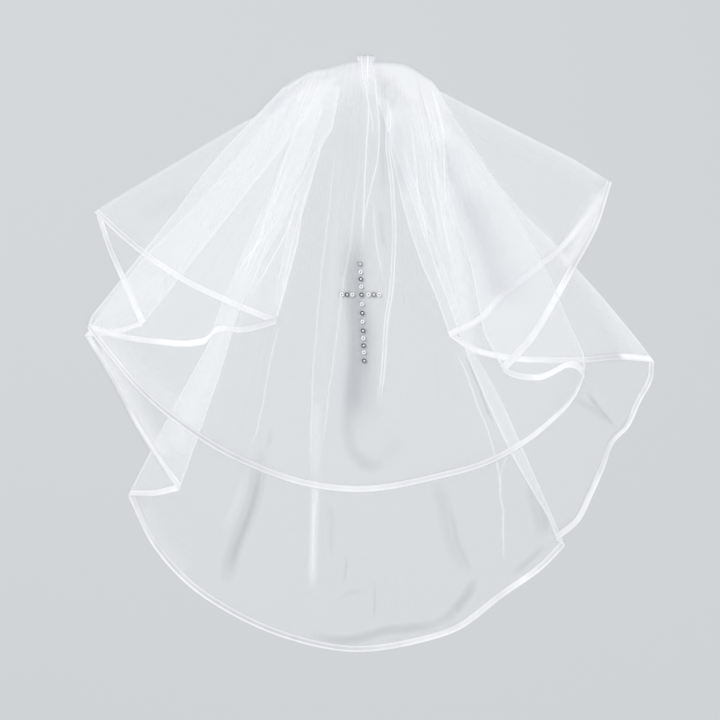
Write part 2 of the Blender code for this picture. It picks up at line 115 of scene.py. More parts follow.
LOWER_FOLDS = (
    LEFT_WING_EDGE,
    Fold("left inner", (-28, -18), (-224, -265)),
    Fold("left outer", (-67, -21), (-282, -274), ((0.3, 1), (0.5, 0), (0.66, -7), (0.8, -6))),
    Fold("left pleat", (-41, -43), (-186, -429), ((0.3, 5), (0.4, -3), (0.53, -8), (0.7, -2.5))),
    Fold("back left", (-54, -30), (-239, -434),
         ((0.2, 3), (0.42, 4), (0.55, 6.5), (0.62, 11), (0.7, 8), (0.8, 4.5))),
    Fold("back right", (22, -38), (200, -484),
         ((0.3, -8), (0.57, -14), (0.62, -9), (0.7, -5), (0.85, -2.5))),
    Fold("knot pleat", (10, -36), (190, -479),
         ((0.3, -9), (0.6, -14.5), (0.7, -13.5), (0.8, -11), (0.88, -5), (0.95, 1))),
    Fold("right outer", (62, -43), (289, -300),
         ((0.15, 4), (0.3, 1), (0.45, 0.5), (0.53, 4.5), (0.75, 5.5), (0.9, 3.5))),
    Fold("right inner", (22, -50), (83, -276),
         ((0.18, -9), (0.4, -11.3), (0.55, -11), (0.69, -8.4), (0.8, -3.6), (0.9, -1.5))),
    RIGHT_WING_EDGE,
)
LOWER_PANELS = (
    Panel("left wing", 4, ((-90, -34), (-70, -21)), ((-259, -186), (-242, -225)), 4.0),
    Panel("left return", 3, (), ((-251, -273),)),
    Panel("left flap", 2, (), ((-263, -305), (-226, -371), (-203, -407))),
    Panel("left pleat", 1, (), ((-211, -434),)),
    Panel("back", 0, ((-32, -12), (0, -9)),
          ((-216, -480), (-181, -521), (-136, -552), (-76, -578), (-13, -590), (54, -581), (89, -570),
           (139, -534), (179, -505))),
    Panel("knot pleat", 1, (), ()),
    Panel("right flap", 2, ((36, -16),),
          ((214, -459), (226, -435), (238, -408), (250, -379), (261, -368), (275, -340), (287, -316))),
    Panel("right return", 3, (), ((254, -298), (217, -301), (181, -301), (144, -299), (109, -291))),
    Panel("right wing", 4, ((44, -26),), ((115, -260), (137, -237), (164, -215), (196, -189), (226, -152))),
)

# Where fewer layers lie below, every layer steps down on the outer side of a line, over a distance.
Step = namedtuple("Step", "name start end layers run")
STEPS = (
    Step("left flap", (-55, -30), (-240, -434), 2, 55.0),
    Step("left wing", (-73, -18), (-287, -271), 2, 50.0),
    Step("right flap", (201, -484), (23, -38), 2, 55.0),
    Step("right wing", (294, -297), (66, -40), 2, 50.0),
)

# How far down the front panel, the share of its full sag, and where the sag starts at left and right.
Sag = namedtuple("Sag", "down share left right")
FRONT_SAG = (
    Sag(0.00, 0.00, 0.37, 0.62),
    Sag(0.10, 0.12, 0.37, 0.62),
    Sag(0.22, 0.62, 0.37, 0.63),
    Sag(0.38, 1.00, 0.37, 0.665),
    Sag(0.62, 1.00, 0.38, 0.70),
    Sag(0.72, 1.00, 0.34, 0.74),
    Sag(1.00, 1.00, 0.30, 0.78),
)
SAG_LAYERS = 6                  # depth of the full sag, in layers
SAG_SHOULDER = 0.08             # share of the panel over which each side of the sag slopes

# Pleats that stand on the front panel: place and half width as shares of the panel, height, and the share
# of the way down where they end.
Pleat = namedtuple("Pleat", "across half_width height end")
FRONT_PLEATS = (
    Pleat(0.180, 0.014, 1.6, 0.60),
    Pleat(0.500, 0.016, 2.4, 0.42),
    Pleat(0.618, 0.012, 2.4, 0.74),
    Pleat(0.800, 0.014, 1.6, 0.66),
)

PLEAT_START = 0.1               # share of the way down at which a pleat stands up fully
PLEAT_FALL = 0.6                # share of its own run at which it starts to lie down again

# The long pleat of the front, from the heading down past the cross.
LONG_PLEAT = ((20.7, -25), (23, -48), (21.5, -90), (25, -115), (26.5, -140), (28, -170), (27, -198),
              (24.8, -231), (20.7, -256), (17, -308), (14, -334), (13, -354))


def beside(points, offset):
    """The same line of points, moved to the right."""
    return tuple((x + offset, y) for x, y in points)


# A crease is a soft ridge, or below 0 a trough, along points on one panel: half its width, its height, how
# much closer together the threads look along it (or, below 0, how shaded they are), the share of its length
# over which it fades at its ends, and the share of its half width over which its side slopes.
Crease = namedtuple("Crease", "name tier panel half_width height press soft slope points")
CREASES = (
    Crease("hollow on the left wing", "upper", "left wing", 16, 0, -0.1, 0.3, 1,
           ((-166, -130), (-198, -142), (-234, -154))),
    Crease("long pleat", "upper", "front", 3.6, 1.2, 0.08, 0.15, 0.5, LONG_PLEAT),
    Crease("swell by the right return", "upper", "front", 14, 1, 0.34, 0.12, 0.9,
           ((71, -58), (74, -98), (75, -128), (78, -153), (84, -178), (90, -200), (95, -228), (100, -263),
            (108, -310))),
    Crease("hollow by the right return", "upper", "front", 22, 0, -0.34, 0.15, 1,
           ((77, -66), (82, -88), (88, -113), (99, -143), (112, -173), (121, -200), (130, -228),
            (137, -253))),
    Crease("outer side of that hollow", "upper", "front", 26, 0, -0.24, 0.2, 1,
           ((102, -118), (118, -153), (130, -178), (140, -203), (148, -228), (154, -253))),
    Crease("swell inside that hollow", "upper", "front", 14, 0, 0.34, 0.2, 1,
           ((79, -143), (82, -163), (86, -186), (90, -208), (94, -233), (98, -268))),
    Crease("swell of the heading, right", "upper", "front", 24, 0, 0.6, 0.2, 1,
           ((32, -12), (48, -24), (60, -40), (67, -63), (71, -93))),
    Crease("swell over the heading, right", "upper", "front", 24, 0, 0.6, 0.4, 1,
           ((-2, 4), (18, -2), (34, -8), (48, -18), (64, -36), (72, -62))),
    Crease("swell of the heading, left", "upper", "front", 16, 0, 0.1, 0.3, 1,
           ((-21, -4), (-28, -18), (-36, -38), (-48, -63))),
    Crease("broad pleat", "upper", "front", 8, 0.9, 0.07, 0.25, 0.5,
           ((-16, -88), (-22, -118), (-25, -153), (-29, -188), (-35, -231), (-38, -258), (-43, -308),
            (-47, -358), (-51, -393))),
    Crease("hollow behind the cross", "upper", "front", 22, -0.9, -0.6, 0.25, 0.9,
           ((-7, -146), (-12, -188), (-10, -238), (-8, -283), (-11, -323), (-18, -388))),
    Crease("hollow right of the cross", "upper", "front", 16, 0, -0.26, 0.3, 1,
           ((3, -223), (6, -268), (7, -313), (6, -358), (0, -386))),
    Crease("sag by the hem", "upper", "front", 16, -0.4, -0.2, 0.3, 1,
           ((-21, -390), (6, -402), (26, -390), (32, -362))),
    Crease("light fold of the left pleat", "lower", "left pleat", 26, 0, 0.42, 0.1, 1,
           ((-128, -238), (-151, -288), (-171, -338), (-196, -393))),
    Crease("light corner of the back", "lower", "back", 24, 0, 0.22, 0.1, 1,
           ((-228, -443), (-214, -478), (-181, -516))),
    Crease("light edge of the lower fold", "lower", "right return", 22, 0, 0.5, 0.1, 1,
           ((194, -176), (224, -213), (256, -260), (282, -298))),
    Crease("light edge of the wing", "upper", "right wing", 26, 0, 0.2, 0.1, 1,
           ((94, -40), (154, -68), (204, -96), (240, -122))),
    Crease("light tip of the flap", "lower", "left flap", 24, 0, 0.6, 0.1, 1,
           ((-274, -283), (-262, -303), (-244, -333), (-226, -366), (-206, -403))),
    Crease("light edge of the front", "upper", "front", 24, 0, 0.3, 0.1, 1,
           ((-274, -270), (-256, -283), (-236, -306), (-211, -330), (-186, -350))),
    Crease("light corner of the front", "upper", "front", 24, 0, 0.3, 0.15, 1,
           ((-270, -260), (-246, -242), (-220, -226), (-194, -226))),
    Crease("light tip of the wing", "upper", "right wing", 18, 0, 0.75, 0.15, 1,
           ((240, -128), (228, -152), (214, -178), (200, -210))),
    Crease("light tip of the left wing", "upper", "left wing", 16, 0, 0.25, 0.15, 1,
           ((-270, -150), (-261, -166), (-244, -188), (-216, -213))),
)

CREASE_FINE = 5                 # places on a crease's curve between two of its points

# A tuck has the same values and is a strip of its own on the panel: a line along which the net lies double,
# or, where its press is below 0, a narrow shaded hollow.
Tuck = namedtuple("Tuck", "name tier panel half_width height press soft points")
TUCKS = (
    Tuck("first heading crease", "upper", "front", 1.3, 0.7, 0.55, 0.2,
         ((6.5, 2), (10.7, -39.7), (13, -69.7), (11.5, -98), (5.7, -123), (-0.2, -148), (-3.5, -173))),
    Tuck("middle crease", "upper", "front", 1.4, 0.9, 0.6, 0.2,
         ((-5, 2), (0.7, -31), (2, -41), (0.7, -81), (-1, -115), (-2, -140), (-3, -165), (-3, -195))),
    Tuck("middle crease, branch", "upper", "front", 1.2, 0.4, 0.4, 0.25,
         ((2, -41), (5.7, -56), (7, -76))),
    Tuck("short crease above the cross", "upper", "front", 1.3, 0.5, 0.35, 0.25,
         ((7, -134), (8, -156), (10, -178), (14, -201), (19, -225))),
    Tuck("hollow beside it", "upper", "front", 3, -0.4, -0.13, 0.25,
         ((15, -143), (15, -160), (19, -190))),
    Tuck("deep hollow at the heading", "upper", "front", 4.5, 0, -0.13, 0.3,
         ((14, -14), (17, -30), (17.5, -48), (16, -73), (17, -108), (18, -143))),
    Tuck("hollow beside the long pleat", "upper", "front", 8, 0, -0.15, 0.35,
         ((28, -46), (30, -66), (32, -88), (35, -116), (38, -142))),
    Tuck("shade beside the gathers", "upper", "front", 6, 0, -0.03, 0.25,
         ((-15, -10), (-14, -33), (-15, -63), (-17, -103))),
    Tuck("left edge of the heading", "upper", "front", 9, 0, -0.13, 0.3,
         ((-102, -60), (-89, -42), (-72, -27), (-52, -15))),
    Tuck("dark side of the left crease", "upper", "front", 1.3, 0, -0.09, 0.2,
         ((-63, -44), (-70, -62), (-79, -86), (-85, -100), (-93, -124), (-100, -144), (-107, -162))),
    Tuck("dark side of the thick left crease", "upper", "front", 1.3, 0, -0.08, 0.25,
         ((-44, -72), (-52, -90), (-63, -112), (-73, -130), (-83, -146))),
    Tuck("hollow beside the outer line", "upper", "front", 4, 0, -0.15, 0.3,
         ((75, -68), (80, -92), (82.5, -110), (87, -132))),
    Tuck("left edge of the wing", "upper", "left wing", 6, -0.3, -0.09, 0.3,
         ((-123, -64), (-110, -57), (-94, -42))),
    Tuck("long pleat, left edge", "upper", "front", 1.3, 0.5, 0.5, 0.15, beside(LONG_PLEAT, -1.5)),
    Tuck("long pleat, right edge", "upper", "front", 1.3, 0.5, 0.55, 0.15, beside(LONG_PLEAT, 1.6)),
    Tuck("right heading crease", "upper", "front", 1.4, 0.6, 0.52, 0.25,
         ((42, -41), (45, -65), (48, -90), (50, -115), (53, -141), (59, -165), (66, -190), (72, -215),
          (79, -240))),
    Tuck("hollow beside it", "upper", "front", 1.6, -0.3, -0.34, 0.25,
         ((60, -164), (65, -186), (73, -212))),
    Tuck("outer heading crease", "upper", "front", 1.2, 0.5, 0.38, 0.25,
         ((47, -38), (54, -73), (60, -98), (61, -115), (66, -136), (70, -156), (73, -181), (77, -211))),
    Tuck("faint heading crease", "upper", "front", 1.1, 0.3, 0.28, 0.25,
         ((58, -48), (64, -91), (71, -115), (77, -145))),
    Tuck("hollow at the middle of the heading", "upper", "front", 8, -0.3, -0.05, 0.3,
         ((-14, -38), (-19, -58), (-21, -88), (-23, -108))),
    Tuck("outer heading line", "upper", "front", 1.4, 0.6, 0.6, 0.15,
         ((64, -22), (71, -46), (77, -76), (78, -103), (79, -133), (82, -153))),
    Tuck("second outer line", "upper", "front", 1.1, 0.4, 0.36, 0.2,
         ((55, -26), (63, -58), (68, -88), (70, -113), (74, -143), (80, -173), (86, -200))),
    Tuck("third outer line", "upper", "front", 1, 0.4, 0.3, 0.2,
         ((51, -33), (57, -68), (63, -98), (65, -123), (70, -148), (75, -178), (80, -206))),
    Tuck("fine line", "upper", "front", 1, 0.3, 0.3, 0.25,
         ((45, -30), (50, -68), (55, -108), (58, -138), (62, -163))),
    Tuck("fine line", "upper", "front", 1, 0.3, 0.3, 0.25,
         ((61, -28), (68, -60), (74, -93), (75, -123), (78, -150), (84, -178))),
    Tuck("left crease", "upper", "front", 1.3, 0.6, 0.38, 0.25,
         ((-59, -38), (-66, -60), (-74, -80), (-79, -93), (-86, -115), (-94, -141), (-101, -160),
          (-104, -173), (-110, -186), (-121, -201), (-129, -216), (-136, -231))),
    Tuck("thick left crease", "upper", "front", 1.4, 0.8, 0.34, 0.2,
         ((-39, -62), (-46, -81), (-58, -106), (-68, -126), (-78, -140), (-86, -156), (-96, -171),
          (-106, -181), (-111, -187), (-121, -201), (-136, -231))),
    Tuck("crease below the left return", "upper", "front", 1.3, 0.5, 0.35, 0.2,
         ((-84, -256), (-93, -289), (-97, -308), (-102, -338), (-106, -356), (-110, -372), (-116, -386),
          (-117, -394))),
    Tuck("edge of the left swell", "upper", "front", 1.2, 0.4, 0.3, 0.25,
         ((-63, -115), (-78, -173), (-81, -190), (-84, -206), (-88, -223), (-89, -240), (-91, -258))),
    Tuck("left swell", "upper", "front", 6, 0.8, 0.14, 0.3,
         ((-69, -160), (-73, -178), (-76, -195), (-80, -215), (-84, -238), (-87, -260))),
    Tuck("fine line", "upper", "front", 1, 0.3, 0.34, 0.2,
         ((-70, -88), (-83, -120), (-95, -148), (-109, -181), (-120, -208), (-130, -228))),
    Tuck("fine line", "upper", "front", 1, 0.3, 0.3, 0.2,
         ((-63, -98), (-75, -124), (-89, -152), (-104, -184), (-116, -210), (-128, -234))),
    Tuck("fine line", "upper", "front", 1, 0.3, 0.3, 0.2,
         ((-58, -116), (-70, -146), (-83, -178), (-98, -206), (-111, -230))),
    Tuck("fine line", "upper", "front", 1, 0.3, 0.32, 0.2,
         ((-54, -108), (-65, -150), (-74, -184), (-81, -218), (-85, -250))),
    Tuck("fine line", "upper", "front", 1, 0.3, 0.28, 0.2,
         ((-75, -106), (-89, -138), (-100, -166), (-116, -200), (-126, -226), (-138, -256))),
    Tuck("fine line", "upper", "front", 1, 0.3, 0.25, 0.2,
         ((-101, -200), (-112, -228), (-123, -256), (-132, -288))),
    Tuck("slanting crease", "upper", "front", 1.2, 0.4, 0.3, 0.25,
         ((-66, -144), (-75, -162), (-83, -179), (-93, -197), (-103, -215), (-110, -228), (-117, -241))),
    Tuck("crease over the left pleat", "upper", "front", 1.2, 0.4, 0.28, 0.25,
         ((-94, -168), (-103, -195), (-110, -215), (-117, -232), (-123, -244))),
    Tuck("broad pleat, left edge", "upper", "front", 1.2, 0.4, 0.34, 0.15,
         ((-28, -78), (-31, -98), (-34, -118), (-36, -140), (-39, -165), (-41, -185), (-44, -206),
          (-46, -231), (-48, -248), (-49, -265), (-53, -308), (-54, -348), (-55, -388), (-55, -414))),
    Tuck("broad pleat, right edge", "upper", "front", 1.2, 0.4, 0.3, 0.15,
         ((-4, -91), (-8, -115), (-11, -140), (-14, -165), (-16, -186), (-20, -206), (-24, -231),
          (-27, -256), (-34, -308), (-37, -328), (-40, -358), (-44, -384), (-47, -404))),
    Tuck("hollow by the hem", "upper", "front", 4, 0, -0.08, 0.48,
         ((-92, -362), (-96, -376), (-101, -394))),
    Tuck("hollow below the cross", "upper", "front", 9, -0.8, -0.13, 0.3,
         ((-20, -343), (-18, -368), (-10, -394), (6, -404), (24, -396))),
    Tuck("deepest of it", "upper", "front", 12, 0, -0.1, 0.2,
         ((-13, -184), (-12, -238), (-10, -283), (-13, -328), (-18, -378))),
    Tuck("back crease", "lower", "back", 1.3, 0.5, 0.45, 0.12,
         ((86, -283), (94, -298), (101, -313), (106, -328), (112, -345), (121, -366), (126, -383),
          (132, -408), (134, -420), (134, -432), (137, -448), (137, -468), (138, -504))),
    Tuck("back crease, branch", "lower", "back", 1.2, 0.3, 0.3, 0.25,
         ((142, -392), (136, -406), (134, -420))),
    Tuck("hollow beside it", "lower", "back", 1.5, -0.3, -0.3, 0.25,
         ((98, -289), (104, -305), (112, -323), (122, -350), (129, -365))),
    Tuck("broad pleat, left edge", "lower", "back", 1.3, 0.4, 0.34, 0.25,
         ((-54, -424), (-53, -448), (-53, -478), (-54, -514))),
    Tuck("broad pleat, right edge", "lower", "back", 1.2, 0.3, 0.25, 0.25,
         ((-48, -426), (-51, -446), (-53, -462))),
    Tuck("left fold's shade", "lower", "back", 10, 0, -0.17, 0.25,
         ((-103, -378), (-107, -408), (-113, -438), (-121, -460), (-130, -483), (-137, -506),
          (-143, -534))),
    Tuck("left fold's core", "lower", "back", 4.5, 0, -0.2, 0.3,
         ((-106, -400), (-110, -428), (-116, -450), (-125, -474), (-133, -498), (-138, -520))),
    Tuck("left fold's swell", "lower", "back", 5, 0, 0.12, 0.3,
         ((-122, -408), (-126, -430), (-134, -450), (-144, -473))),
    Tuck("right fold's shade", "lower", "back", 11, 0, -0.09, 0.25,
         ((66, -408), (74, -430), (80, -453), (86, -478), (96, -500), (104, -520))),
    Tuck("right fold's core", "lower", "back", 4.5, 0, -0.07, 0.3,
         ((81, -434), (87, -458), (92, -481), (102, -504), (108, -522))),
    Tuck("shade at the hem's turn", "lower", "back", 7, 0, -0.2, 0.35,
         ((111, -508), (104, -528), (94, -542), (81, -555), (62, -562))),
    Tuck("shade inside the hem", "lower", "back", 6.5, 0, -0.18, 0.3,
         ((89, -548), (70, -561), (46, -566), (18, -569), (-2, -575), (-21, -578), (-48, -575),
          (-70, -567))),
    Tuck("shade by the knot", "lower", "back", 9.5, 0, -0.12, 0.35,
         ((160, -414), (169, -440), (175, -462), (177, -484))),
    Tuck("core of it", "lower", "back", 4.5, 0, -0.12, 0.4,
         ((171, -436), (179, -458), (183, -478))),
    Tuck("shade along the hem by the knot", "lower", "back", 4.5, 0, -0.12, 0.35,
         ((185, -479), (174, -488), (160, -501), (142, -517))),
    Tuck("swell of the broad pleat", "upper", "front", 7, 0, 0.2, 0.3,
         ((-48, -328), (-50, -368), (-51, -408), (-52, -424))),
    Tuck("end of the broad pleat", "lower", "back", 5.5, 0, 0.34, 0.2,
         ((-51, -408), (-51, -438), (-52, -468), (-53, -498), (-54, -532))),
    Tuck("middle hollow", "lower", "back", 6, 0, -0.07, 0.35,
         ((-39, -430), (-35, -453), (-35, -478), (-38, -500))),
    Tuck("small hollow", "lower", "back", 2.4, 0, -0.1, 0.45,
         ((-22, -486), (-20, -500), (-21, -513), (-25, -529))),
    Tuck("small cross hollow", "lower", "back", 3.4, 0, -0.08, 0.45,
         ((-30, -542), (-23, -534), (-10, -530), (4, -530))),
    Tuck("small right hollow", "lower", "back", 2.2, 0, -0.1, 0.4,
         ((7, -510), (8.5, -530), (8.5, -548), (7, -566))),
    Tuck("faint right hollow", "lower", "back", 4, 0, -0.035, 0.4,
         ((31, -506), (31, -530), (29, -560))),
    Tuck("faint left hollow", "lower", "back", 3, 0, -0.05, 0.4,
         ((-36, -453), (-35, -483), (-37, -508))),
    Tuck("buckle of the hem, upper shade", "lower", "right flap", 2.8, 0, -0.2, 0.3,
         ((218, -326), (231, -344), (244, -359), (253, -369))),
    Tuck("buckle of the hem, lower shade", "lower", "right flap", 5.5, 0, -0.09, 0.3,
         ((200, -334), (218, -342), (234, -352), (250, -366))),
    Tuck("buckle of the hem", "lower", "right flap", 4, 0, 0.06, 0.35,
         ((222, -322), (236, -340), (248, -356))),
    Tuck("swell by the outer fold", "lower", "right return", 6, 0.6, 0.2, 0.35,
         ((149, -144), (172, -167), (194, -190), (214, -214))),
)

# Lines of points along a tuck: place across it, and share of its press and height.
TUCK_PROFILE = ((-1.0, 0.0), (-0.55, 0.6), (-0.15, 1.0), (0.15, 1.0), (0.55, 0.6), (1.0, 0.0))
TUCK_STEP = 2.5                 # distance between points along a tuck
TUCK_FEWEST = 8                 # steps along the shortest tucks
TUCK_LOOKUP = 3                 # every how many threads the height under a tuck is looked up on
TUCK_NEIGHBOURS = 4             # how many of the panel's points a height comes from
TUCK_BLEND = 0.2                # distance that evens out their weights
TUCK_CLEAR = 0.12               # how far a tuck lies above its panel

# How the threads crowd towards the heading: share of the way down, their press there, and how uneven it is.
Crowding = namedtuple("Crowding", "down press uneven")
CROWDING = (
    Crowding(0.00, 0.80, 0.05),
    Crowding(0.05, 0.52, 0.06),
    Crowding(0.10, 0.16, 0.05),
    Crowding(0.22, 0.05, 0.03),
    Crowding(0.45, 0.01, 0.02),
    Crowding(1.00, 0.00, 0.01),
)
SIDE_CROWDING = 0.25            # share of that press on the panels folded to the sides
# The front panel is drawn out thin at its middle: share of one layer's cover, across the panel.
FRONT_COVER = ((0.0, 1.0), (0.2, 0.9), (0.36, 0.4), (0.7, 0.3), (0.82, 0.6), (1.0, 0.4))
STREAK_SEED = 11                # which uneven streaks are drawn
STREAK_THREADS = (3, 15)        # widths of the fine and the broad streaks, in threads

# How the satin of the ribbon catches the light along the hem of each panel. Each row of tones is a place
# across the panel, and how light the ribbon's outer edge, its middle and its inner edge are there.
Satin = namedtuple("Satin", "tier panel tones")
SATIN = (
    Satin("upper", "left wing", (
        (0, 0.5, 0.45, 0.6), (0.1, 0.7, 0.2, 0.55), (0.28, 0.68, 0.25, 0.55), (0.39, 0.85, 0.7, 0.8),
        (0.55, 0.65, 0.55, 0.65), (0.75, 0.7, 0.7, 0.75), (0.84, 0.7, 0.6, 0.7), (0.94, 0.65, 0.45, 0.6),
        (1, 0.6, 0.45, 0.6))),
    Satin("upper", "left return", (
        (0, 0.55, 0.3, 0.15), (0.19, 0.55, 0.5, 0.5), (0.31, 0.65, 0.8, 0.8), (0.42, 0.85, 0.95, 0.95),
        (0.6, 0.85, 1, 0.95), (0.66, 0.55, 0.65, 0.6), (0.8, 0.55, 0.6, 0.7), (0.94, 0.7, 0.75, 0.75),
        (1, 0.6, 0.6, 0.6))),
    Satin("upper", "front", (
        (0, 0.8, 0.3, 0.8), (0.02, 0.85, 0.2, 0.85), (0.06, 0.75, 0.4, 0.9), (0.1, 0.85, 0.3, 0.9),
        (0.13, 0.65, 0.1, 0.5), (0.21, 0.75, 0.05, 0.6), (0.29, 0.6, 0.05, 0.45), (0.37, 0.5, 0.15, 0.45),
        (0.41, 0.5, 0.35, 0.5), (0.44, 0.75, 0.45, 0.65), (0.5, 0.75, 0.55, 0.65), (0.56, 0.8, 0.65, 0.7),
        (0.6, 0.75, 0.5, 0.6), (0.67, 0.65, 0.4, 0.55), (0.75, 0.65, 0.35, 0.55), (0.79, 0.55, 0.25, 0.55),
        (0.83, 0.7, 0.6, 0.7), (0.87, 0.85, 0.7, 0.8), (0.91, 0.85, 0.75, 0.85), (0.94, 1, 0.6, 0.5),
        (0.98, 1, 0.55, 0.4), (1, 0.8, 0.5, 0.5))),
    Satin("upper", "right return", (
        (0, 0.7, 0.5, 0.6), (0.12, 0.8, 0.6, 0.75), (0.25, 0.9, 0.8, 0.8), (0.38, 1, 0.95, 0.8),
        (0.62, 0.9, 0.95, 0.85), (0.7, 0.7, 0.6, 0.7), (0.88, 0.7, 0.45, 0.6), (1, 0.6, 0.5, 0.6))),
    Satin("upper", "right wing", (
        (0, 0.75, 0.6, 0.65), (0.15, 0.7, 0.55, 0.65), (0.28, 0.65, 0.7, 0.7), (0.36, 0.8, 0.85, 0.8),
        (0.45, 0.85, 0.9, 0.9), (0.52, 0.9, 0.6, 0.8), (0.58, 0.6, 0.2, 0.5), (0.65, 0.7, 0.3, 0.6),
        (0.75, 0.75, 0.4, 0.65), (0.85, 0.85, 0.4, 0.7), (1, 0.75, 0.3, 0.6))),
    Satin("lower", "left wing", (
        (0, 0.5, 0.45, 0.7), (0.1, 0.5, 0.5, 0.8), (0.3, 0.55, 0.2, 0.5), (0.5, 0.7, 0.45, 0.6),
        (0.62, 0.9, 0.7, 0.85), (1, 0.95, 0.75, 0.85))),
    Satin("lower", "left return", (
        (0, 0.7, 0.7, 0.7), (1, 0.7, 0.7, 0.7))),
    Satin("lower", "left flap", (
        (0, 0.35, 0.6, 0.6), (0.06, 0.3, 0.7, 0.6), (0.19, 0.15, 0.4, 0.6), (0.44, 0.15, 0.3, 0.6),
        (0.56, 0.5, 0.75, 0.35), (0.7, 0.35, 0.7, 0.5), (0.85, 0.35, 0.7, 0.6), (0.94, 0.65, 0.5, 0.8),
        (1, 0.7, 0.6, 0.8))),
    Satin("lower", "left pleat", (
        (0, 0.9, 0.85, 0.85), (0.3, 0.85, 0.8, 0.75), (0.5, 0.6, 0.6, 0.65), (0.83, 0.35, 0.6, 0.75),
        (1, 0.4, 0.6, 0.7))),
    Satin("lower", "back", (
        (0, 0.7, 0.2, 0.3), (0.06, 0.5, 0.5, 0.35), (0.1, 0.85, 0.3, 0.45), (0.15, 0.85, 0.1, 0.5),
        (0.2, 0.9, 0.3, 0.6), (0.25, 0.8, 0.1, 0.5), (0.35, 0.75, 0.1, 0.5), (0.45, 0.75, 0.1, 0.5),
        (0.55, 0.7, 0.2, 0.55), (0.6, 0.6, 0.4, 0.65), (0.65, 0.75, 0.5, 0.65), (0.7, 0.9, 0.7, 0.6),
        (0.74, 0.85, 0.5, 0.5), (0.78, 0.7, 0.6, 0.75), (0.85, 0.65, 0.5, 0.55), (0.9, 0.9, 0.9, 0.85),
        (0.94, 0.85, 0.35, 0.65), (1, 0.6, 0.3, 0.6))),
    Satin("lower", "right flap", (
        (0, 0.6, 0.5, 0.55), (0.17, 0.7, 0.65, 0.7), (0.28, 0.9, 0.75, 0.4), (0.39, 0.8, 0.4, 0.4),
        (0.5, 0.5, 0.35, 0.25), (0.61, 0.8, 0.7, 0.05), (0.67, 0.9, 0.5, 0.1), (0.72, 0.9, 0.45, 0.65),
        (0.83, 0.8, 0.4, 0.55), (0.94, 0.6, 0.2, 0.75), (1, 0.6, 0.4, 0.7))),
    Satin("lower", "right return", (
        (0, 0.7, 0.95, 0.9), (0.13, 0.7, 0.95, 0.9), (0.16, 0.3, 0.1, 0.2), (0.28, 0.45, 0.2, 0.4),
        (0.36, 0.6, 0.5, 0.6), (0.5, 0.6, 0.6, 0.5), (0.56, 0.8, 0.8, 0.6), (0.61, 1, 0.85, 0.65),
        (0.72, 0.9, 0.9, 0.75), (0.8, 0.6, 0.85, 0.75), (0.86, 0.9, 0.7, 0.7), (0.94, 1, 0.5, 0.5),
        (1, 0.7, 0.5, 0.6))),
    Satin("lower", "right wing", (
        (0, 0.7, 0.8, 0.7), (0.15, 0.5, 0.8, 0.7), (0.27, 0.5, 0.7, 0.75), (0.32, 0.4, 0.4, 0.4),
        (0.5, 0.5, 0.5, 0.45), (0.6, 0.5, 0.45, 0.4), (0.66, 0.7, 0.7, 0.6), (0.75, 0.9, 0.85, 0.85),
        (0.86, 1, 0.85, 0.4), (0.95, 0.8, 0.25, 0.4), (1, 0.7, 0.4, 0.5))),
)


# ---------------------------------------------------------------- curves and blends

def smooth(low, high, value):
    """0 below low, 1 above high, and an even curve between."""
    part = np.clip((value - low) / (high - low), 0.0, 1.0)
    return part * part * (3.0 - 2.0 * part)


def leaving(before, here, after):
    """Direction of a curve at one of its points, weighted to the nearer neighbour."""
    back, ahead = np.linalg.norm(here - before), np.linalg.norm(after - here)
    return ((here - before) / back * ahead + (after - here) / ahead * back) / (back + ahead)


def dense_curve(points, fine=24):
    """Points close together on the smooth curve through the given points."""
    points = [np.array(p, float) for p in points]
    points = [points[0] * 2 - points[1], *points, points[-1] * 2 - points[-2]]
    part = np.arange(fine)[:, None] / fine
    square, cube = part ** 2, part ** 3
    runs = []
    for before, here, there, after in zip(points, points[1:], points[2:], points[3:]):
        chord = np.linalg.norm(there - here)
        leave = leaving(before, here, there) * chord
        arrive = leaving(here, there, after) * chord
        runs.append(here * (2 * cube - 3 * square + 1) + leave * (cube - 2 * square + part)
                    + there * (3 * square - 2 * cube) + arrive * (cube - square))
    return np.vstack([*runs, points[-2][None, :]])


def run_of(points):
    """Distance along a line of points, at each of them."""
    return np.concatenate([[0.0], np.cumsum(np.linalg.norm(np.diff(points, axis=0), axis=1))])


def along_curve(points, shares):
    """Points of the smooth curve at shares of its length, and its direction there."""
    dense = dense_curve(points)
    run = run_of(dense)
    goal = np.asarray(shares) * run[-1]
    found = np.stack([np.interp(goal, run, dense[:, axis]) for axis in (0, 1)], axis=1)
    piece = np.clip(np.searchsorted(run, goal, side="left"), 1, len(run) - 1)
    way = dense[piece] - dense[piece - 1]
    return found, way / np.linalg.norm(way, axis=1)[:, None]


# ---------------------------------------------------------------- the tiers' threads

# The threads that run down a tier, in order round its hem: where each starts and ends, how far it sways to
# the right at even shares of the way down, its height above the layers below, the length of the ribbon
# along it, its share across its panel, the panel's place in the tier, and how closely it is pressed.
Threads = namedtuple("Threads", "top hem sway height cut across panel press")
SWAY_STEPS = 100
OPEN_PANELS = ("front", "back")  # seen whole, so their threads are the closest together
OTHER_SPACING = 1.7             # how many times further apart the threads of the other panels are
FEWEST_THREADS = 6              # in a panel
LEAST_SLANT = 0.1               # of a thread to the hem, where it runs nearly along it


def sway_of(fold):
    """How far a fold lies to the right of the straight line between its ends, at even shares down."""
    knots = np.array(((0.0, 0.0), *fold.bends, (1.0, 0.0)))
    return np.interp(np.arange(SWAY_STEPS + 1) / SWAY_STEPS, knots[:, 0], knots[:, 1])


def inward(fold, way):
    """Unit vector across a fold, towards the panels; way is 1 at a left fold and -1 at a right one."""
    along = np.subtract(fold.corner, fold.start) / math.dist(fold.corner, fold.start)
    across = np.array((-along[1], along[0]))
    return across if across[0] * way > 0 else -across


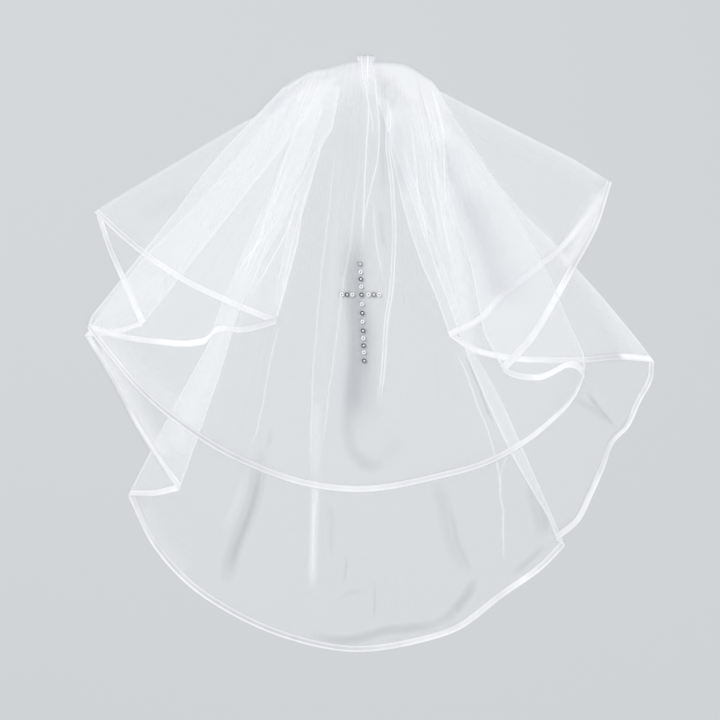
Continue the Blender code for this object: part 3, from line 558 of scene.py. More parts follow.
def panel_threads(index, panel, left, right, starts, spacing):
    """The threads of one panel from its first fold to its second."""
    left_move, right_move = starts
    tops = [left.start + left_move, *panel.heading, right.start + right_move]
    hems = [left.corner + left_move, *panel.hem, right.corner + right_move]
    apart = spacing if panel.name in OPEN_PANELS else spacing * OTHER_SPACING
    count = max(FEWEST_THREADS, math.ceil(run_of(dense_curve(hems))[-1] / apart))
    shares = np.arange(count + 1) / count
    top, _ = along_curve(tops, shares ** panel.crowd)
    hem, way = along_curve(hems, shares)
    run = hem - top
    run /= np.linalg.norm(run, axis=1)[:, None]
    slant = np.abs(way[:, 0] * run[:, 1] - way[:, 1] * run[:, 0])
    cut = RIBBON * np.minimum(1.0 / np.maximum(slant, LEAST_SLANT), RIBBON_REACH)
    sway = sway_of(left)[None, :] * (1 - shares)[:, None] + sway_of(right)[None, :] * shares[:, None]
    height = np.full(count + 1, WALL / 2 + panel.layer * LAYER)
    press = np.zeros(count + 1)
    press[0], press[-1] = left.press, right.press
    return Threads(top, hem, sway, height, cut, shares, np.full(count + 1, index, float), press)


def fold_threads(before, after, move, steps):
    """The threads round a fold, from the last of one panel to the first of the next."""
    turn = np.pi * (np.arange(1, steps) / steps - 0.5)
    middle = (before.height[-1] + after.height[0]) / 2
    rise = (after.height[0] - before.height[-1]) / 2
    shift = -move[None, :] * (abs(rise) * np.cos(turn))[:, None]
    share = np.arange(1, steps) / steps

    def blend(last, first):
        return last[-1] + (first[0] - last[-1]) * share

    return Threads(before.top[-1] + shift, before.hem[-1] + shift,
                   np.repeat(before.sway[-1:], steps - 1, axis=0), middle + rise * np.sin(turn),
                   blend(before.cut, after.cut), blend(before.across, after.across),
                   blend(before.panel, after.panel), blend(before.press, after.press))


def join_threads(runs):
    """One run of threads from several, in their order."""
    return Threads(*(np.concatenate(field) for field in zip(*runs)))


def tier_threads(folds, panels, spacing, fold_steps, lip_layer):
    """All threads of a tier from wing edge to wing edge, with a lip turned under where lip_layer is given."""
    outer = FOLD_INSET if lip_layer is not None else FOLD_INSET + WING_LIP
    runs = []
    for index, panel in enumerate(panels):
        left, right = folds[index], folds[index + 1]
        way = 1 if index % 2 == 0 else -1
        left_move = inward(left, way) * (outer if index == 0 else FOLD_INSET)
        right_move = inward(right, -way) * (outer if index == len(panels) - 1 else FOLD_INSET)
        found = panel_threads(index, panel, left, right, (left_move, right_move), spacing)
        if runs:
            runs.append(fold_threads(runs[-1], found, inward(left, way), fold_steps))
        runs.append(found)
    if lip_layer is not None:
        runs.insert(0, wing_lip(folds[0], runs[0], 0, 1, lip_layer))
        runs.insert(1, fold_threads(runs[0], runs[1], inward(folds[0], 1), fold_steps))
        lip = wing_lip(folds[-1], runs[-1], -1, -1, lip_layer)
        runs.append(fold_threads(runs[-1], lip, inward(folds[-1], -1), fold_steps))
        runs.append(lip)
    return join_threads(runs)


def wing_lip(edge, threads, end, way, layer):
    """The short strip that a wing edge turns under."""
    reach = np.array((WING_LIP, 0.0)) if end == 0 else np.array((0.0, WING_LIP))
    move = inward(edge, way)[None, :] * reach[:, None]
    pair = np.ones(2)
    return Threads(threads.top[end] + move, threads.hem[end] + move, np.outer(pair, threads.sway[end]),
                   pair * (WALL / 2 + layer * LAYER), pair * threads.cut[end],
                   pair * threads.across[end], pair * threads.panel[end], pair * threads.press[end])


# ---------------------------------------------------------------- heights

def step_down(x, y):
    """How far the layers lie lower, because fewer layers are under them."""
    fall = np.zeros_like(x)
    for step in STEPS:
        along = np.subtract(step.end, step.start) / math.dist(step.end, step.start)
        beyond = (x - step.start[0]) * along[1] - (y - step.start[1]) * along[0]
        fall += step.layers * LAYER * np.clip(beyond / step.run, 0.0, 1.0)
    return fall


def front_sag(across, down):
    """Fall of the front panel between the folded sides."""
    table = np.array(FRONT_SAG)
    share, left, right = (np.interp(down, table[:, 0], table[:, column]) for column in (1, 2, 3))
    inside = smooth(left, left + SAG_SHOULDER, across) * (1 - smooth(right - SAG_SHOULDER, right, across))
    return SAG_LAYERS * LAYER * share * inside


def front_pleats(across, down):
    """Height of the pleats that stand on the front panel."""
    height = np.zeros_like(down)
    for pleat in FRONT_PLEATS:
        crest = smooth(0.0, 1.0, 1.0 - np.abs(across - pleat.across) / pleat.half_width)
        ends = smooth(0.0, PLEAT_START, down) * (1 - smooth(pleat.end * PLEAT_FALL, pleat.end, down))
        height += pleat.height * crest * ends
    return height


def crease_reach(crease, x, y):
    """How near each point is to a crease: 1 along its middle, 0 beyond its sides and its ends."""
    points = dense_curve(crease.points, CREASE_FINE)
    run = run_of(points)
    near = np.zeros(x.shape)
    low, high = points.min(axis=0) - crease.half_width, points.max(axis=0) + crease.half_width
    here = (x > low[0]) & (x < high[0]) & (y > low[1]) & (y < high[1])
    place = np.column_stack([x[here], y[here]])
    if not len(place):
        return near
    starts, steps = points[:-1], np.diff(points, axis=0)
    long = np.linalg.norm(steps, axis=1)
    offset = place[:, None, :] - starts[None, :, :]
    part = np.clip((offset * steps[None]).sum(axis=2) / long ** 2, 0.0, 1.0)
    away = np.linalg.norm(offset - steps[None] * part[..., None], axis=2)
    nearest = away.argmin(axis=1)
    rows = np.arange(len(place))
    share = (run[nearest] + part[rows, nearest] * long[nearest]) / run[-1]
    fade = smooth(0.0, crease.soft, share) * (1 - smooth(1 - crease.soft, 1.0, share))
    side = (1.0 - away[rows, nearest] / crease.half_width) / crease.slope
    near[here] = smooth(0.0, 1.0, side) * fade
    return near


def crowding(tier_panels, threads, streaks, down):
    """How closely the threads are pressed together on their way to the heading, streak by streak."""
    table = np.array(CROWDING)
    press, uneven = (np.interp(down, table[:, 0], table[:, column]) for column in (1, 2))
    share = np.array([1.0 if panel.name == "front" else SIDE_CROWDING for panel in tier_panels])
    share = np.interp(threads.panel, np.arange(len(share)), share)
    return (press + uneven * streaks[:, None]) * share[:, None]


def thread_streaks(count):
    """An even run of random numbers round a tier, from about -1 to 1, in fine and broad waves."""
    random = np.random.default_rng(STREAK_SEED)
    total = np.zeros(count)
    for width in STREAK_THREADS:
        window = np.hanning(width + 2)[1:-1]
        total += np.convolve(random.normal(size=count), window / np.linalg.norm(window), "same")
    return total / 2


def cloth_heights(name, panels, threads, points, reach, down, streaks):
    """Height of the tulle at each point, and how closely its threads are pressed together there."""
    x, y = points[..., 0], points[..., 1]
    height = np.repeat(threads.height[:, None], down.shape[1], axis=1)
    press = threads.press[:, None] + crowding(panels, threads, streaks, down)
    low = WALL / 2 + step_down(x, y)
    places = {panel.name: index for index, panel in enumerate(panels)}
    if "front" in places:
        rows = threads.panel == places["front"]
        across = np.repeat(threads.across[rows][:, None], down.shape[1], axis=1)
        top = height[rows] - front_sag(across, down[rows]) + front_pleats(across, down[rows])
        turned = smooth(0.0, TURN_SHOULDER, across) * (1 - smooth(1 - TURN_SHOULDER, 1.0, across))
        inner = np.clip(reach[rows] / TURN_REACH, 0.0, 1.0)
        rounded = np.sqrt(np.clip(1.0 - (1.0 - inner) ** 2, 0.0, 1.0))
        height[rows] = top + (low[rows] - top) * turned * (1.0 - rounded)
    for crease in CREASES:
        if crease.tier != name:
            continue
        rows = threads.panel == places[crease.panel]
        near = crease_reach(crease, x[rows], y[rows])
        height[rows] += crease.height * near
        press[rows] += crease.press * near
    return height - step_down(x, y), press


def cloth_cover(tier):
    """How much each thread's net covers, beside an even layer's."""
    cover = np.ones(len(tier.length))
    for index, panel in enumerate(tier.panels):
        if panel.name == "front":
            rows = tier.threads.panel == index
            cover[rows] = np.interp(tier.threads.across[rows], *np.transpose(FRONT_COVER))
    return cover


def cloth_points(threads, reach):
    """Places down each thread, at these distances from its top, as x and y."""
    run = threads.hem - threads.top
    down = reach / np.linalg.norm(run, axis=1)[:, None]
    points = threads.top[:, None, :] + run[:, None, :] * down[..., None]
    place = np.clip(down, 0.0, 1.0) * SWAY_STEPS
    first = np.minimum(place.astype(int), SWAY_STEPS - 1)
    part = place - first
    points[..., 0] += (np.take_along_axis(threads.sway, first, axis=1) * (1 - part)
                       + np.take_along_axis(threads.sway, first + 1, axis=1) * part)
    return points, down


# ---------------------------------------------------------------- the cut laid open

def mirror_across(fold):
    """The flat mirror that opens a fold, as a 2 by 3 matrix."""
    along = np.subtract(fold.corner, fold.start) / math.dist(fold.corner, fold.start)
    turn = 2 * np.outer(along, along) - np.eye(2)
    return np.column_stack([turn, np.array(fold.start) - turn @ np.array(fold.start)])


def combine(outer, inner):
    """One flat move in place of two: first the inner one, then the outer."""
    return np.column_stack([outer[:, :2] @ inner[:, :2], outer[:, :2] @ inner[:, 2] + outer[:, 2]])


def opened_panels(folds, panels, middle):
    """For each panel, the move that lays it open flat beside the middle panel."""
    flat = {middle: np.column_stack([np.eye(2), np.zeros(2)])}
    for index in range(middle + 1, len(panels)):
        flat[index] = combine(flat[index - 1], mirror_across(folds[index]))
    for index in range(middle - 1, -1, -1):
        flat[index] = combine(flat[index + 1], mirror_across(folds[index + 1]))
    return np.array([flat[index] for index in range(len(panels))])


def cut_places(threads, points, opened):
    """Place of each point on the flat cut, which the net's pattern follows."""
    move = opened[np.clip(np.rint(threads.panel), 0, len(opened) - 1).astype(int)]
    return np.einsum("nij,nmj->nmi", move[:, :, :2], points) + move[:, None, :, 2]


# ---------------------------------------------------------------- meshes

def table_origin():
    """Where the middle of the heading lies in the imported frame, in millimetres."""
    low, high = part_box("heading_gather")
    return np.array(((low[0] + high[0]) / 2 / MM, (low[1] + high[1]) / 2 / MM - GATHER_MIDDLE, 0.0))


def link(mesh, name):
    """Puts a mesh into the scene as an object."""
    item = bpy.data.objects.new(name, mesh)
    bpy.context.scene.collection.objects.link(item)
    return item


# A patch of a mesh: a grid of points in millimetres, their flat places on the cut, and named values.
Patch = namedtuple("Patch", "points flat values")


def grid_object(name, patches, ring=False):
    """An object from patches; ring closes each line of a patch's grid on itself."""
    quads = []
    total = 0
    for patch in patches:
        lines, count = patch.points.shape[:2]
        place = total + np.arange(lines * count).reshape(lines, count)
        if ring:
            place = np.column_stack([place, place[:, 0]])
        quads.append(np.stack([place[:-1, :-1], place[1:, :-1], place[1:, 1:], place[:-1, 1:]],
                              axis=-1).reshape(-1, 4))
        total += lines * count
    quads = np.vstack(quads)
    corners = np.vstack([patch.points.reshape(-1, 3) for patch in patches])
    mesh = bpy.data.meshes.new(name)
    mesh.from_pydata(((corners + table_origin()) * MM).tolist(), [], quads.tolist())
    if patches[0].flat is not None:
        flat = np.vstack([patch.flat.reshape(-1, 2) for patch in patches])
        layer = mesh.uv_layers.new(name="cut")
        layer.data.foreach_set("uv", (flat[quads.ravel()] * MM).ravel())
    for key in patches[0].values:
        field = mesh.attributes.new(key, "FLOAT", "POINT")
        values = np.concatenate([patch.values[key].ravel() for patch in patches])
        field.data.foreach_set("value", values.astype(np.float32))
    mesh.shade_smooth()
    mesh.update()
    return link(mesh, name)


class Tier:
    """One tier of the veil: its folds and panels, and the threads worked out from them."""

    def __init__(self, name, folds, panels, middle, lip_layer, settings):
        self.name = name
        self.panels = panels
        spacing = settings.thread_spacing / MM
        self.threads = tier_threads(folds, panels, spacing, settings.fold_steps, lip_layer)
        self.opened = opened_panels(folds, panels, middle)
        self.length = np.linalg.norm(self.threads.hem - self.threads.top, axis=1)
        self.streaks = thread_streaks(len(self.length))

    def surface(self, reach):
        """Points of the cloth at distances down its threads, with their press and place on the cut."""
        points, down = cloth_points(self.threads, reach)
        height, press = cloth_heights(self.name, self.panels, self.threads, points, reach, down, self.streaks)
        return np.dstack([points, height]), press, cut_places(self.threads, points, self.opened)


def tiers(settings):
    """Both tiers; the upper one's wing edges turn under to the layer of the lower one's wings."""
    return (Tier("lower", LOWER_FOLDS, LOWER_PANELS, middle=4, lip_layer=None, settings=settings),
            Tier("upper", UPPER_FOLDS, UPPER_PANELS, middle=2, lip_layer=4, settings=settings))


def flat_cut(flat):
    """Width, length and area of the opened cut, in metres."""
    corners = flat * MM
    size = corners.reshape(-1, 2).max(axis=0) - corners.reshape(-1, 2).min(axis=0)
    a, b = corners[1:, 1:] - corners[:-1, :-1], corners[1:, :-1] - corners[:-1, 1:]
    area = np.abs(a[..., 0] * b[..., 1] - a[..., 1] * b[..., 0]).sum() / 2
    return float(size[0]), float(size[1]), float(area)


def tulle_sheet(tier, settings):
    """The tulle of one tier, from its heading to just under the ribbon."""
    rows = settings.tulle_rows
    edge = tier.length - tier.threads.cut * TULLE_UNDER
    turn = TURN_REACH * (1 - np.cos(np.pi / 2 * np.arange(TURN_ROWS) / TURN_ROWS))
    rest = TURN_REACH + (edge[:, None] - TURN_REACH) * (np.arange(rows + 1) / rows)[None, :]
    reach = np.hstack([np.repeat(turn[None, :], len(edge), axis=0), rest])
    points, press, flat = tier.surface(reach)
    cover = np.repeat(cloth_cover(tier)[:, None], press.shape[1], axis=1)
    patches = [Patch(points, flat, {"press": press, "cover": cover})]
    patches += [tuck_patch(tier, tuck, points) for tuck in TUCKS if tuck.tier == tier.name]
    return grid_object(f"{tier.name}_tulle_sheet", patches), flat_cut(flat)


def height_finder(tier, panel, points):
    """A tree of the points of one panel, in which the height at a place can be looked up."""
    found = points[tier.threads.panel == panel][::TUCK_LOOKUP].reshape(-1, 3)
    tree = KDTree(len(found))
    for index, point in enumerate(found):
        tree.insert((point[0], point[1], 0.0), index)
    tree.balance()

    def height(x, y):
        near = tree.find_n((x, y, 0.0), TUCK_NEIGHBOURS)
        weights = [1.0 / (distance + TUCK_BLEND) for _, _, distance in near]
        return sum(w * found[index][2] for w, (_, index, _) in zip(weights, near)) / sum(weights)

    return height


def tuck_patch(tier, tuck, points):
    """A tuck as a narrow strip on its panel, closest and highest along its middle."""
    panel = [row.name for row in tier.panels].index(tuck.panel)
    height = height_finder(tier, panel, points)
    length = run_of(dense_curve(tuck.points))[-1]
    shares = np.linspace(0.0, 1.0, max(TUCK_FEWEST, math.ceil(length / TUCK_STEP)) + 1)
    middle, way = along_curve(tuck.points, shares)
    side = np.column_stack([-way[:, 1], way[:, 0]]) * tuck.half_width
    fade = smooth(0.0, tuck.soft, shares) * (1 - smooth(1 - tuck.soft, 1.0, shares))
    profile = np.array(TUCK_PROFILE)
    flat = middle[:, None, :] + side[:, None, :] * profile[None, :, :1]
    lift = np.outer(fade, profile[:, 1])
    level = np.array([[height(*place) for place in line] for line in flat])
    level = np.maximum(level + TUCK_CLEAR + lift * tuck.height, FLOOR_CLEAR)
    move = tier.opened[panel]
    cut = flat @ move[:, :2].T + move[:, 2]
    return Patch(np.dstack([flat, level]), cut, {"press": lift * tuck.press, "cover": np.zeros(lift.shape)})


def satin_tones(tier):
    """How light the ribbon's outer edge, middle and inner edge are along the hem, thread by thread."""
    tables = {(row.tier, row.panel): row.tones for row in SATIN}
    threads = tier.threads
    found = np.zeros((3, len(threads.across)))
    known = np.zeros(len(threads.across), bool)
    for index, panel in enumerate(tier.panels):
        here = threads.panel == index
        if (tier.name, panel.name) not in tables:
            continue
        tones = np.array(tables[tier.name, panel.name])
        known |= here
        for column in range(3):
            found[column, here] = np.interp(threads.across[here], tones[:, 0], tones[:, column + 1])
    place = np.arange(len(known))
    return [np.interp(place, place[known], row[known]) for row in found]


BAND_LINES = (0.0, 0.04, 0.12, 0.24, 0.4, 0.6, 0.76, 0.88, 0.96, 1.0)  # of the mesh, across the ribbon
BAND_RISE = 0.55                # rise of the ribbon between its welts, as a share of theirs
WELTS = (0.1, 0.9)              # their places across the ribbon
WELT_WIDTH = 0.07               # half width of a welt, as a share of the ribbon


def ribbon_band(tier, settings):
    """The satin ribbon folded over a hem, as a closed band with a welt at each edge."""
    cut, length = tier.threads.cut, tier.length
    shares = np.array(BAND_LINES)
    reach = length[:, None] - cut[:, None] * (1 - shares)[None, :]
    points, _, _ = tier.surface(reach)
    along = np.gradient(points, axis=0)
    down = np.gradient(points, axis=1)
    normal = np.cross(along, down)
    normal /= np.maximum(np.linalg.norm(normal, axis=2)[..., None], 1e-9)
    near = np.maximum(*(np.exp(-((shares - place) / WELT_WIDTH) ** 2) for place in WELTS))
    welt = settings.ribbon_thickness / MM * (BAND_RISE + (1 - BAND_RISE) * near)
    welt[0] = welt[-1] = 0.0
    above = points + normal * welt[None, :, None]
    below = points - normal * welt[None, :, None]
    ring = np.concatenate([above, below[:, -2:0:-1]], axis=1)
    across = np.concatenate([shares, shares[-2:0:-1]])
    run = run_of(points[:, -1])
    each = np.ones(len(across))
    values = {"across": np.outer(np.ones(len(run)), across), "along": np.outer(run * MM, each)}
    for name, tone in zip(("outer", "middle", "inner"), satin_tones(tier)):
        values[name] = np.outer(tone, each)
    item = grid_object(f"{tier.name}_satin_band", [Patch(ring, None, values)], ring=True)
    close_ends(item, ring.shape[1])
    return item


def close_ends(item, count):
    """Faces across the first and last ring of a band."""
    shape = bmesh.new()
    shape.from_mesh(item.data)
    shape.verts.ensure_lookup_table()
    first = list(shape.verts[:count])
    last = list(shape.verts[-count:])
    shape.faces.new(first)
    shape.faces.new(last[::-1])
    bmesh.ops.recalc_face_normals(shape, faces=shape.faces)
    shape.to_mesh(item.data)
    shape.free()
    item.data.shade_smooth()


# ---------------------------------------------------------------- gathered heading

# The heading's gathers run up the front panel, over the tuft and down behind it. Place on that path: up
# the veil, height above the surface, half the width there, and how deep the pleats are.
GatherRow = namedtuple("GatherRow", "up height half_width depth")
GATHER_ROWS = (
    GatherRow(-34.0, 10.5, 6.6, 0.0),
    GatherRow(-20.0, 10.5, 6.8, 0.25),
    GatherRow(-12.0, 10.5, 7.2, 0.5),
    GatherRow(-5.0, 10.4, 7.8, 0.8),
    GatherRow(-1.2, 10.0, 8.4, 0.9),
    GatherRow(-0.2, 9.4, 8.2, 0.7),
    GatherRow(1.2, 9.0, 8.7, 0.9),
    GatherRow(3.4, 7.9, 9.1, 1.0),
    GatherRow(5.2, 6.0, 8.9, 0.9),
    GatherRow(6.1, 3.4, 8.0, 0.6),
    GatherRow(5.6, 0.5, 7.6, 0.3),
)
# The pleats of the tuft: middle and half width as shares of its half width, height, and how white it is,
# the white being closer net and a painted highlight on its ridge.
GatherPleat = namedtuple("GatherPleat", "place half_width height press")
GATHER_PLEATS = (
    GatherPleat(-0.86, 0.13, 0.7, 0.5),
    GatherPleat(-0.50, 0.17, 1.1, 0.9),
    GatherPleat(-0.12, 0.12, 0.5, 0.3),
    GatherPleat(0.22, 0.20, 1.2, 0.9),
    GatherPleat(0.58, 0.12, 0.7, 0.6),
    GatherPleat(0.86, 0.12, 0.8, 0.5),
)
GATHER_LINES = (64, 120)        # lines of the mesh along and across the gathers
GATHER_KERNEL = np.array((1, 2, 3, 2, 1)) / 9  # evens out the path of the rows
# Between these places up the veil the gathers come out of the front panel, their sides' fade ends, and the
# net turns down at the rim, where it fades to the painted shade of the tuft's top edge.
GATHER_START = (-34.0, -4.0)
GATHER_SIDE = (-4.0, 1.0)
GATHER_RIM = (4.4, 5.9)
GATHER_EDGE = (0.6, 1.0)        # shares of the half width between which the sides fade
GATHER_LEAST = 0.2              # least height of the gathers above the surface
# The press also sets their colour: painted shade between pleats and at the rim, painted highlight on ridges.
GATHER_PRESS_AND_PAINTED_LIGHT = (0.55, 0.65)     # press between the pleats, and how much of a pleat's own is added
GATHER_FULLNESS = 2.0           # width of net that is drawn up into each width of the gathers
GATHER_CRUMPLES = ((0.12, 23.0, 0.0), (0.08, 35.0, 1.3))  # height, radians across and start of each wave
GATHER_SINK = 0.3               # how far the net lies below its path between the pleats


def gathers():
    """The stitched tuft, a fine ruffled sheet that fades into the front panel."""
    rows = np.array(GATHER_ROWS)
    fine = np.linspace(0, len(rows) - 1, GATHER_LINES[0])
    up, height, half, depth = (np.interp(fine, np.arange(len(rows)), rows[:, i]) for i in range(4))
    up, height = (np.concatenate([line[:2], np.convolve(line, GATHER_KERNEL, "valid"), line[-2:]])
                  for line in (up, height))
    across = np.linspace(-1, 1, GATHER_LINES[1])
    ridge = np.zeros_like(across)
    press = np.zeros_like(across)
    for pleat in GATHER_PLEATS:
        near = smooth(0.0, 1.0, 1.0 - np.abs(across - pleat.place) / pleat.half_width)
        ridge += pleat.height * near
        press += pleat.press * near
    ridge += sum(size * np.sin(across * turns + shift) for size, turns, shift in GATHER_CRUMPLES)
    ridge -= GATHER_SINK
    slope_up, slope_z = np.gradient(up), np.gradient(height)
    length = np.hypot(slope_up, slope_z)
    lift = depth[:, None] * ridge[None, :]
    x = half[:, None] * across[None, :]
    y = up[:, None] - lift * (slope_z / length)[:, None]
    z = height[:, None] + lift * (slope_up / length)[:, None]
    start = smooth(*GATHER_START, up)[:, None]
    sides = 1 - smooth(*GATHER_EDGE, np.abs(across))[None, :] * (1 - smooth(*GATHER_SIDE, up))[:, None]
    # where the press fades to 0 along the rim, the tuft's top edge takes a painted shade
    rim = 1 - smooth(*GATHER_RIM, up)[:, None]
    plain, added = GATHER_PRESS_AND_PAINTED_LIGHT
    values = {"press": (plain + added * press[None, :]) * rim, "gather": start * sides}
    points = np.dstack([x, y, np.maximum(z, GATHER_LEAST)])
    run = run_of(np.column_stack([up, height]))
    flat = np.dstack([x * GATHER_FULLNESS, np.repeat(run[:, None], len(across), axis=1)])
    values = {key: value.T for key, value in values.items()}
    return grid_object("heading_gathers", [Patch(points.transpose(1, 0, 2), flat.transpose(1, 0, 2), values)])


# ---------------------------------------------------------------- cross

# Painted reflections of a crystal's facets, dark at 0 to white at 1; the crown's go round from the right.
Facets = namedtuple("Facets", "cup crown table")
CRYSTAL_REFLECTION_TONES = Facets(0.45, (0.30, 0.12, 0.02, 0.00, 0.00, 0.00, 0.01, 0.20), 0.97)
LIGHTEST_REFLECTION = 0.9            # tone that the crown's facets go towards on a light crystal
# How each crystal is turned about its middle, in degrees, and how much lighter its painted reflections are.
CRYSTAL_TURNS = ((140, 0.45), (10, 0.05), (-8, 0.0), (5, 0.0), (-12, 0.05), (0, 0.0), (12, 0.0), (25, 0.05),
                 (160, 0.3))
GIRDLE_SIDES = 16
TABLE_SIDES = 8
# Rings of a crystal from its back to its table: radius and height. The cup and the girdle come first.
CUP_RINGS = ((2.1, 0.0), (2.35, 0.25), (2.35, 0.8), (2.12, 0.95), (2.08, 1.05))
CROWN_RINGS = ((1.62, 1.62), (1.05, 2.2))  # the star, turned by half a side, and the table
# Painted reflection tones of the crown's other facets, as shares of its main ones.
LOWER_HALF, BETWEEN, STAR = 0.5, 0.8, 1.4
TONE_SHIFT = 3                  # a facet between two has the tone of the main one this many places round
PEARL_SIDES = 28
PEARL_HOLE = 6                  # the ring where the shaded hole starts
PEARL_SKIN, PEARL_HOLE_SIDE, PEARL_HOLE_END = 1.0, 0.25, 0.15  # tones
# Radius and height up a pearl from its back, over its top and down into the hole.
PEARL_PROFILE = ((2.00, 0.0), (2.20, 0.35), (2.20, 0.9), (2.02, 1.45), (1.66, 1.9), (1.2, 2.1), (0.82, 2.05),
                 (0.62, 1.85), (0.5, 1.45), (0.44, 0.9))


def stone_seat(node):
    """Middle of a stone's back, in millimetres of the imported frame."""
    low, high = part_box(node)
    return np.array(((low[0] + high[0]) / 2, (low[1] + high[1]) / 2, low[2])) / MM


def ring_of(shape, seat, radius, height, sides, turn=0.0, shift=0.0):
    """Corners round a stone at one height, turned by an angle and by a share of a side."""
    turns = [turn + 2 * math.pi * (side + shift) / sides for side in range(sides)]
    return [shape.verts.new(seat + np.array((radius * math.cos(a), radius * math.sin(a), height)))
            for a in turns]


def cut_crystal(shape, seat, turn, facet):
    """One crystal: a thin cup, a girdle of sixteen sides and a crown of facets up to an eight-sided table."""
    cup = [ring_of(shape, seat, radius, height, GIRDLE_SIDES, turn) for radius, height in CUP_RINGS]
    (star_radius, star_height), (table_radius, table_height) = CROWN_RINGS
    star = ring_of(shape, seat, star_radius, star_height, TABLE_SIDES, turn, shift=0.5)
    table = ring_of(shape, seat, table_radius, table_height, TABLE_SIDES, turn)
    # each facet keeps the tone of its painted reflection
    tone = shape.faces.layers.float["tone"]

    def face(corners, value):
        made = shape.faces.new(corners)
        made[tone] = value

    for low, high in zip(cup, cup[1:]):
        for i in range(GIRDLE_SIDES):
            after = (i + 1) % GIRDLE_SIDES
            face((low[i], low[after], high[after], high[i]), facet.cup)
    girdle = cup[-1]
    for i in range(TABLE_SIDES):
        left, middle, right = girdle[2 * i], girdle[2 * i + 1], girdle[(2 * i + 2) % GIRDLE_SIDES]
        value = facet.crown[i]
        face((left, middle, star[i]), value)
        face((middle, right, star[i]), value * LOWER_HALF)
        after = (i + 1) % TABLE_SIDES
        between = facet.crown[(i + TONE_SHIFT) % TABLE_SIDES] * BETWEEN
        face((right, star[after], table[after], star[i]), between)
        face((star[i], table[after], table[i]), value * STAR)
    face(table, facet.table)
    face(cup[0][::-1], facet.cup)


def stones(name, nodes, make_one):
    """One mesh for all stones of a kind."""
    shape = bmesh.new()
    shape.faces.layers.float.new("tone")
    for index, node in enumerate(nodes):
        make_one(shape, stone_seat(node), index)
    bmesh.ops.recalc_face_normals(shape, faces=shape.faces)
    for vert in shape.verts:
        vert.co *= MM
    mesh = bpy.data.meshes.new(name)
    shape.to_mesh(mesh)
    shape.free()
    return link(mesh, name)


def make_crystal(shape, seat, index):
    """One crystal of the cross, turned and lit as its own row of the table says."""
    turn, light = CRYSTAL_TURNS[index]
    crown = tuple(tone + light * (LIGHTEST_REFLECTION - tone) for tone in CRYSTAL_REFLECTION_TONES.crown)
    cut_crystal(shape, seat, math.radians(turn), CRYSTAL_REFLECTION_TONES._replace(crown=crown))


def make_pearl(shape, seat, index):
    """A round white bead with a small dimple at its hole."""
    sides = PEARL_SIDES
    tone = shape.faces.layers.float["tone"]
    loops = [ring_of(shape, seat, radius, height, sides) for radius, height in PEARL_PROFILE]
    for ring, (low, high) in enumerate(zip(loops, loops[1:])):
        for i in range(sides):
            made = shape.faces.new((low[i], low[(i + 1) % sides], high[(i + 1) % sides], high[i]))
            made[tone] = PEARL_SKIN if ring < PEARL_HOLE else PEARL_HOLE_SIDE
            made.smooth = True
    shape.faces.new(loops[0][::-1])[tone] = PEARL_SKIN
    shape.faces.new(loops[-1])[tone] = PEARL_HOLE_END


# ---------------------------------------------------------------- stitches

STITCH_LINE = 0.13              # place of the stitches across the ribbon, from its inner edge
GATHER_STITCH_ROWS = (-1.6, -3.4)  # places of the rows of stitches on the gathers, up from the heading
GATHER_STITCHES = 24            # points along a row of them
GATHER_CREST = 10.6             # height of a row at its middle, from which its ends bow down
GATHER_BOW = 0.004              # how far a row bows down, per square millimetre from its middle
FINE_THREAD = 0.45              # thickness of the gathers' thread, as a share of the ribbon's


def stitch_tree(material):
    """Geometry Nodes that lay stitches along a line, each a little uneven."""
    tree = bpy.data.node_groups.new("Stitches along a line", "GeometryNodeTree")
    sockets = tree.interface
    sockets.new_socket("Geometry", in_out="OUTPUT", socket_type="NodeSocketGeometry")
    sockets.new_socket("Geometry", in_out="INPUT", socket_type="NodeSocketGeometry")
    for name in ("Pitch", "Stitch length", "Thread radius"):
        sockets.new_socket(name, in_out="INPUT", socket_type="NodeSocketFloat")
    sockets.new_socket("Seed", in_out="INPUT", socket_type="NodeSocketInt")

    def node(kind, settings=None, values=None):
        made = tree.nodes.new(kind)
        for key, value in (settings or {}).items():
            setattr(made, key, value)
        for key, value in (values or {}).items():
            if isinstance(value, bpy.types.NodeSocket):
                tree.links.new(value, made.inputs[key])
            else:
                made.inputs[key].default_value = value
        return made

    given = node("NodeGroupInput")
    line = node("GeometryNodeMeshToCurve", None, {"Mesh": given.outputs["Geometry"]})
    even = node("GeometryNodeResampleCurve", {"mode": "LENGTH"},
                {"Curve": line.outputs[0], "Length": given.outputs["Pitch"]})
    tangent = node("GeometryNodeInputTangent")
    turned = node("FunctionNodeAlignRotationToVector", {"axis": "Z"}, {"Vector": tangent.outputs[0]})
    grain = node("GeometryNodeMeshUVSphere", None, {"Segments": 6, "Rings": 4,
                                                    "Radius": given.outputs["Thread radius"]})
    half = node("ShaderNodeMath", {"operation": "DIVIDE"}, {0: given.outputs["Stitch length"], 1: 2.0})
    long = node("ShaderNodeMath", {"operation": "DIVIDE"},
                {0: half.outputs[0], 1: given.outputs["Thread radius"]})
    vary = node("FunctionNodeRandomValue", {"data_type": "FLOAT"},
                {"Min": 0.85, "Max": 1.1, "Seed": given.outputs["Seed"]})
    vary_out = next(socket for socket in vary.outputs if socket.enabled)
    reach = node("ShaderNodeMath", {"operation": "MULTIPLY"}, {0: long.outputs[0], 1: vary_out})
    size = node("ShaderNodeCombineXYZ", None, {0: 1.0, 1: 1.0, 2: reach.outputs[0]})
    laid = node("GeometryNodeInstanceOnPoints", None,
                {"Points": even.outputs[0], "Instance": grain.outputs[0], "Rotation": turned.outputs[0],
                 "Scale": size.outputs[0]})
    real = node("GeometryNodeRealizeInstances", None, {"Geometry": laid.outputs[0]})
    dyed = node("GeometryNodeSetMaterial", None, {"Geometry": real.outputs[0], "Material": material})
    node("NodeGroupOutput", None, {"Geometry": dyed.outputs[0]})
    return tree


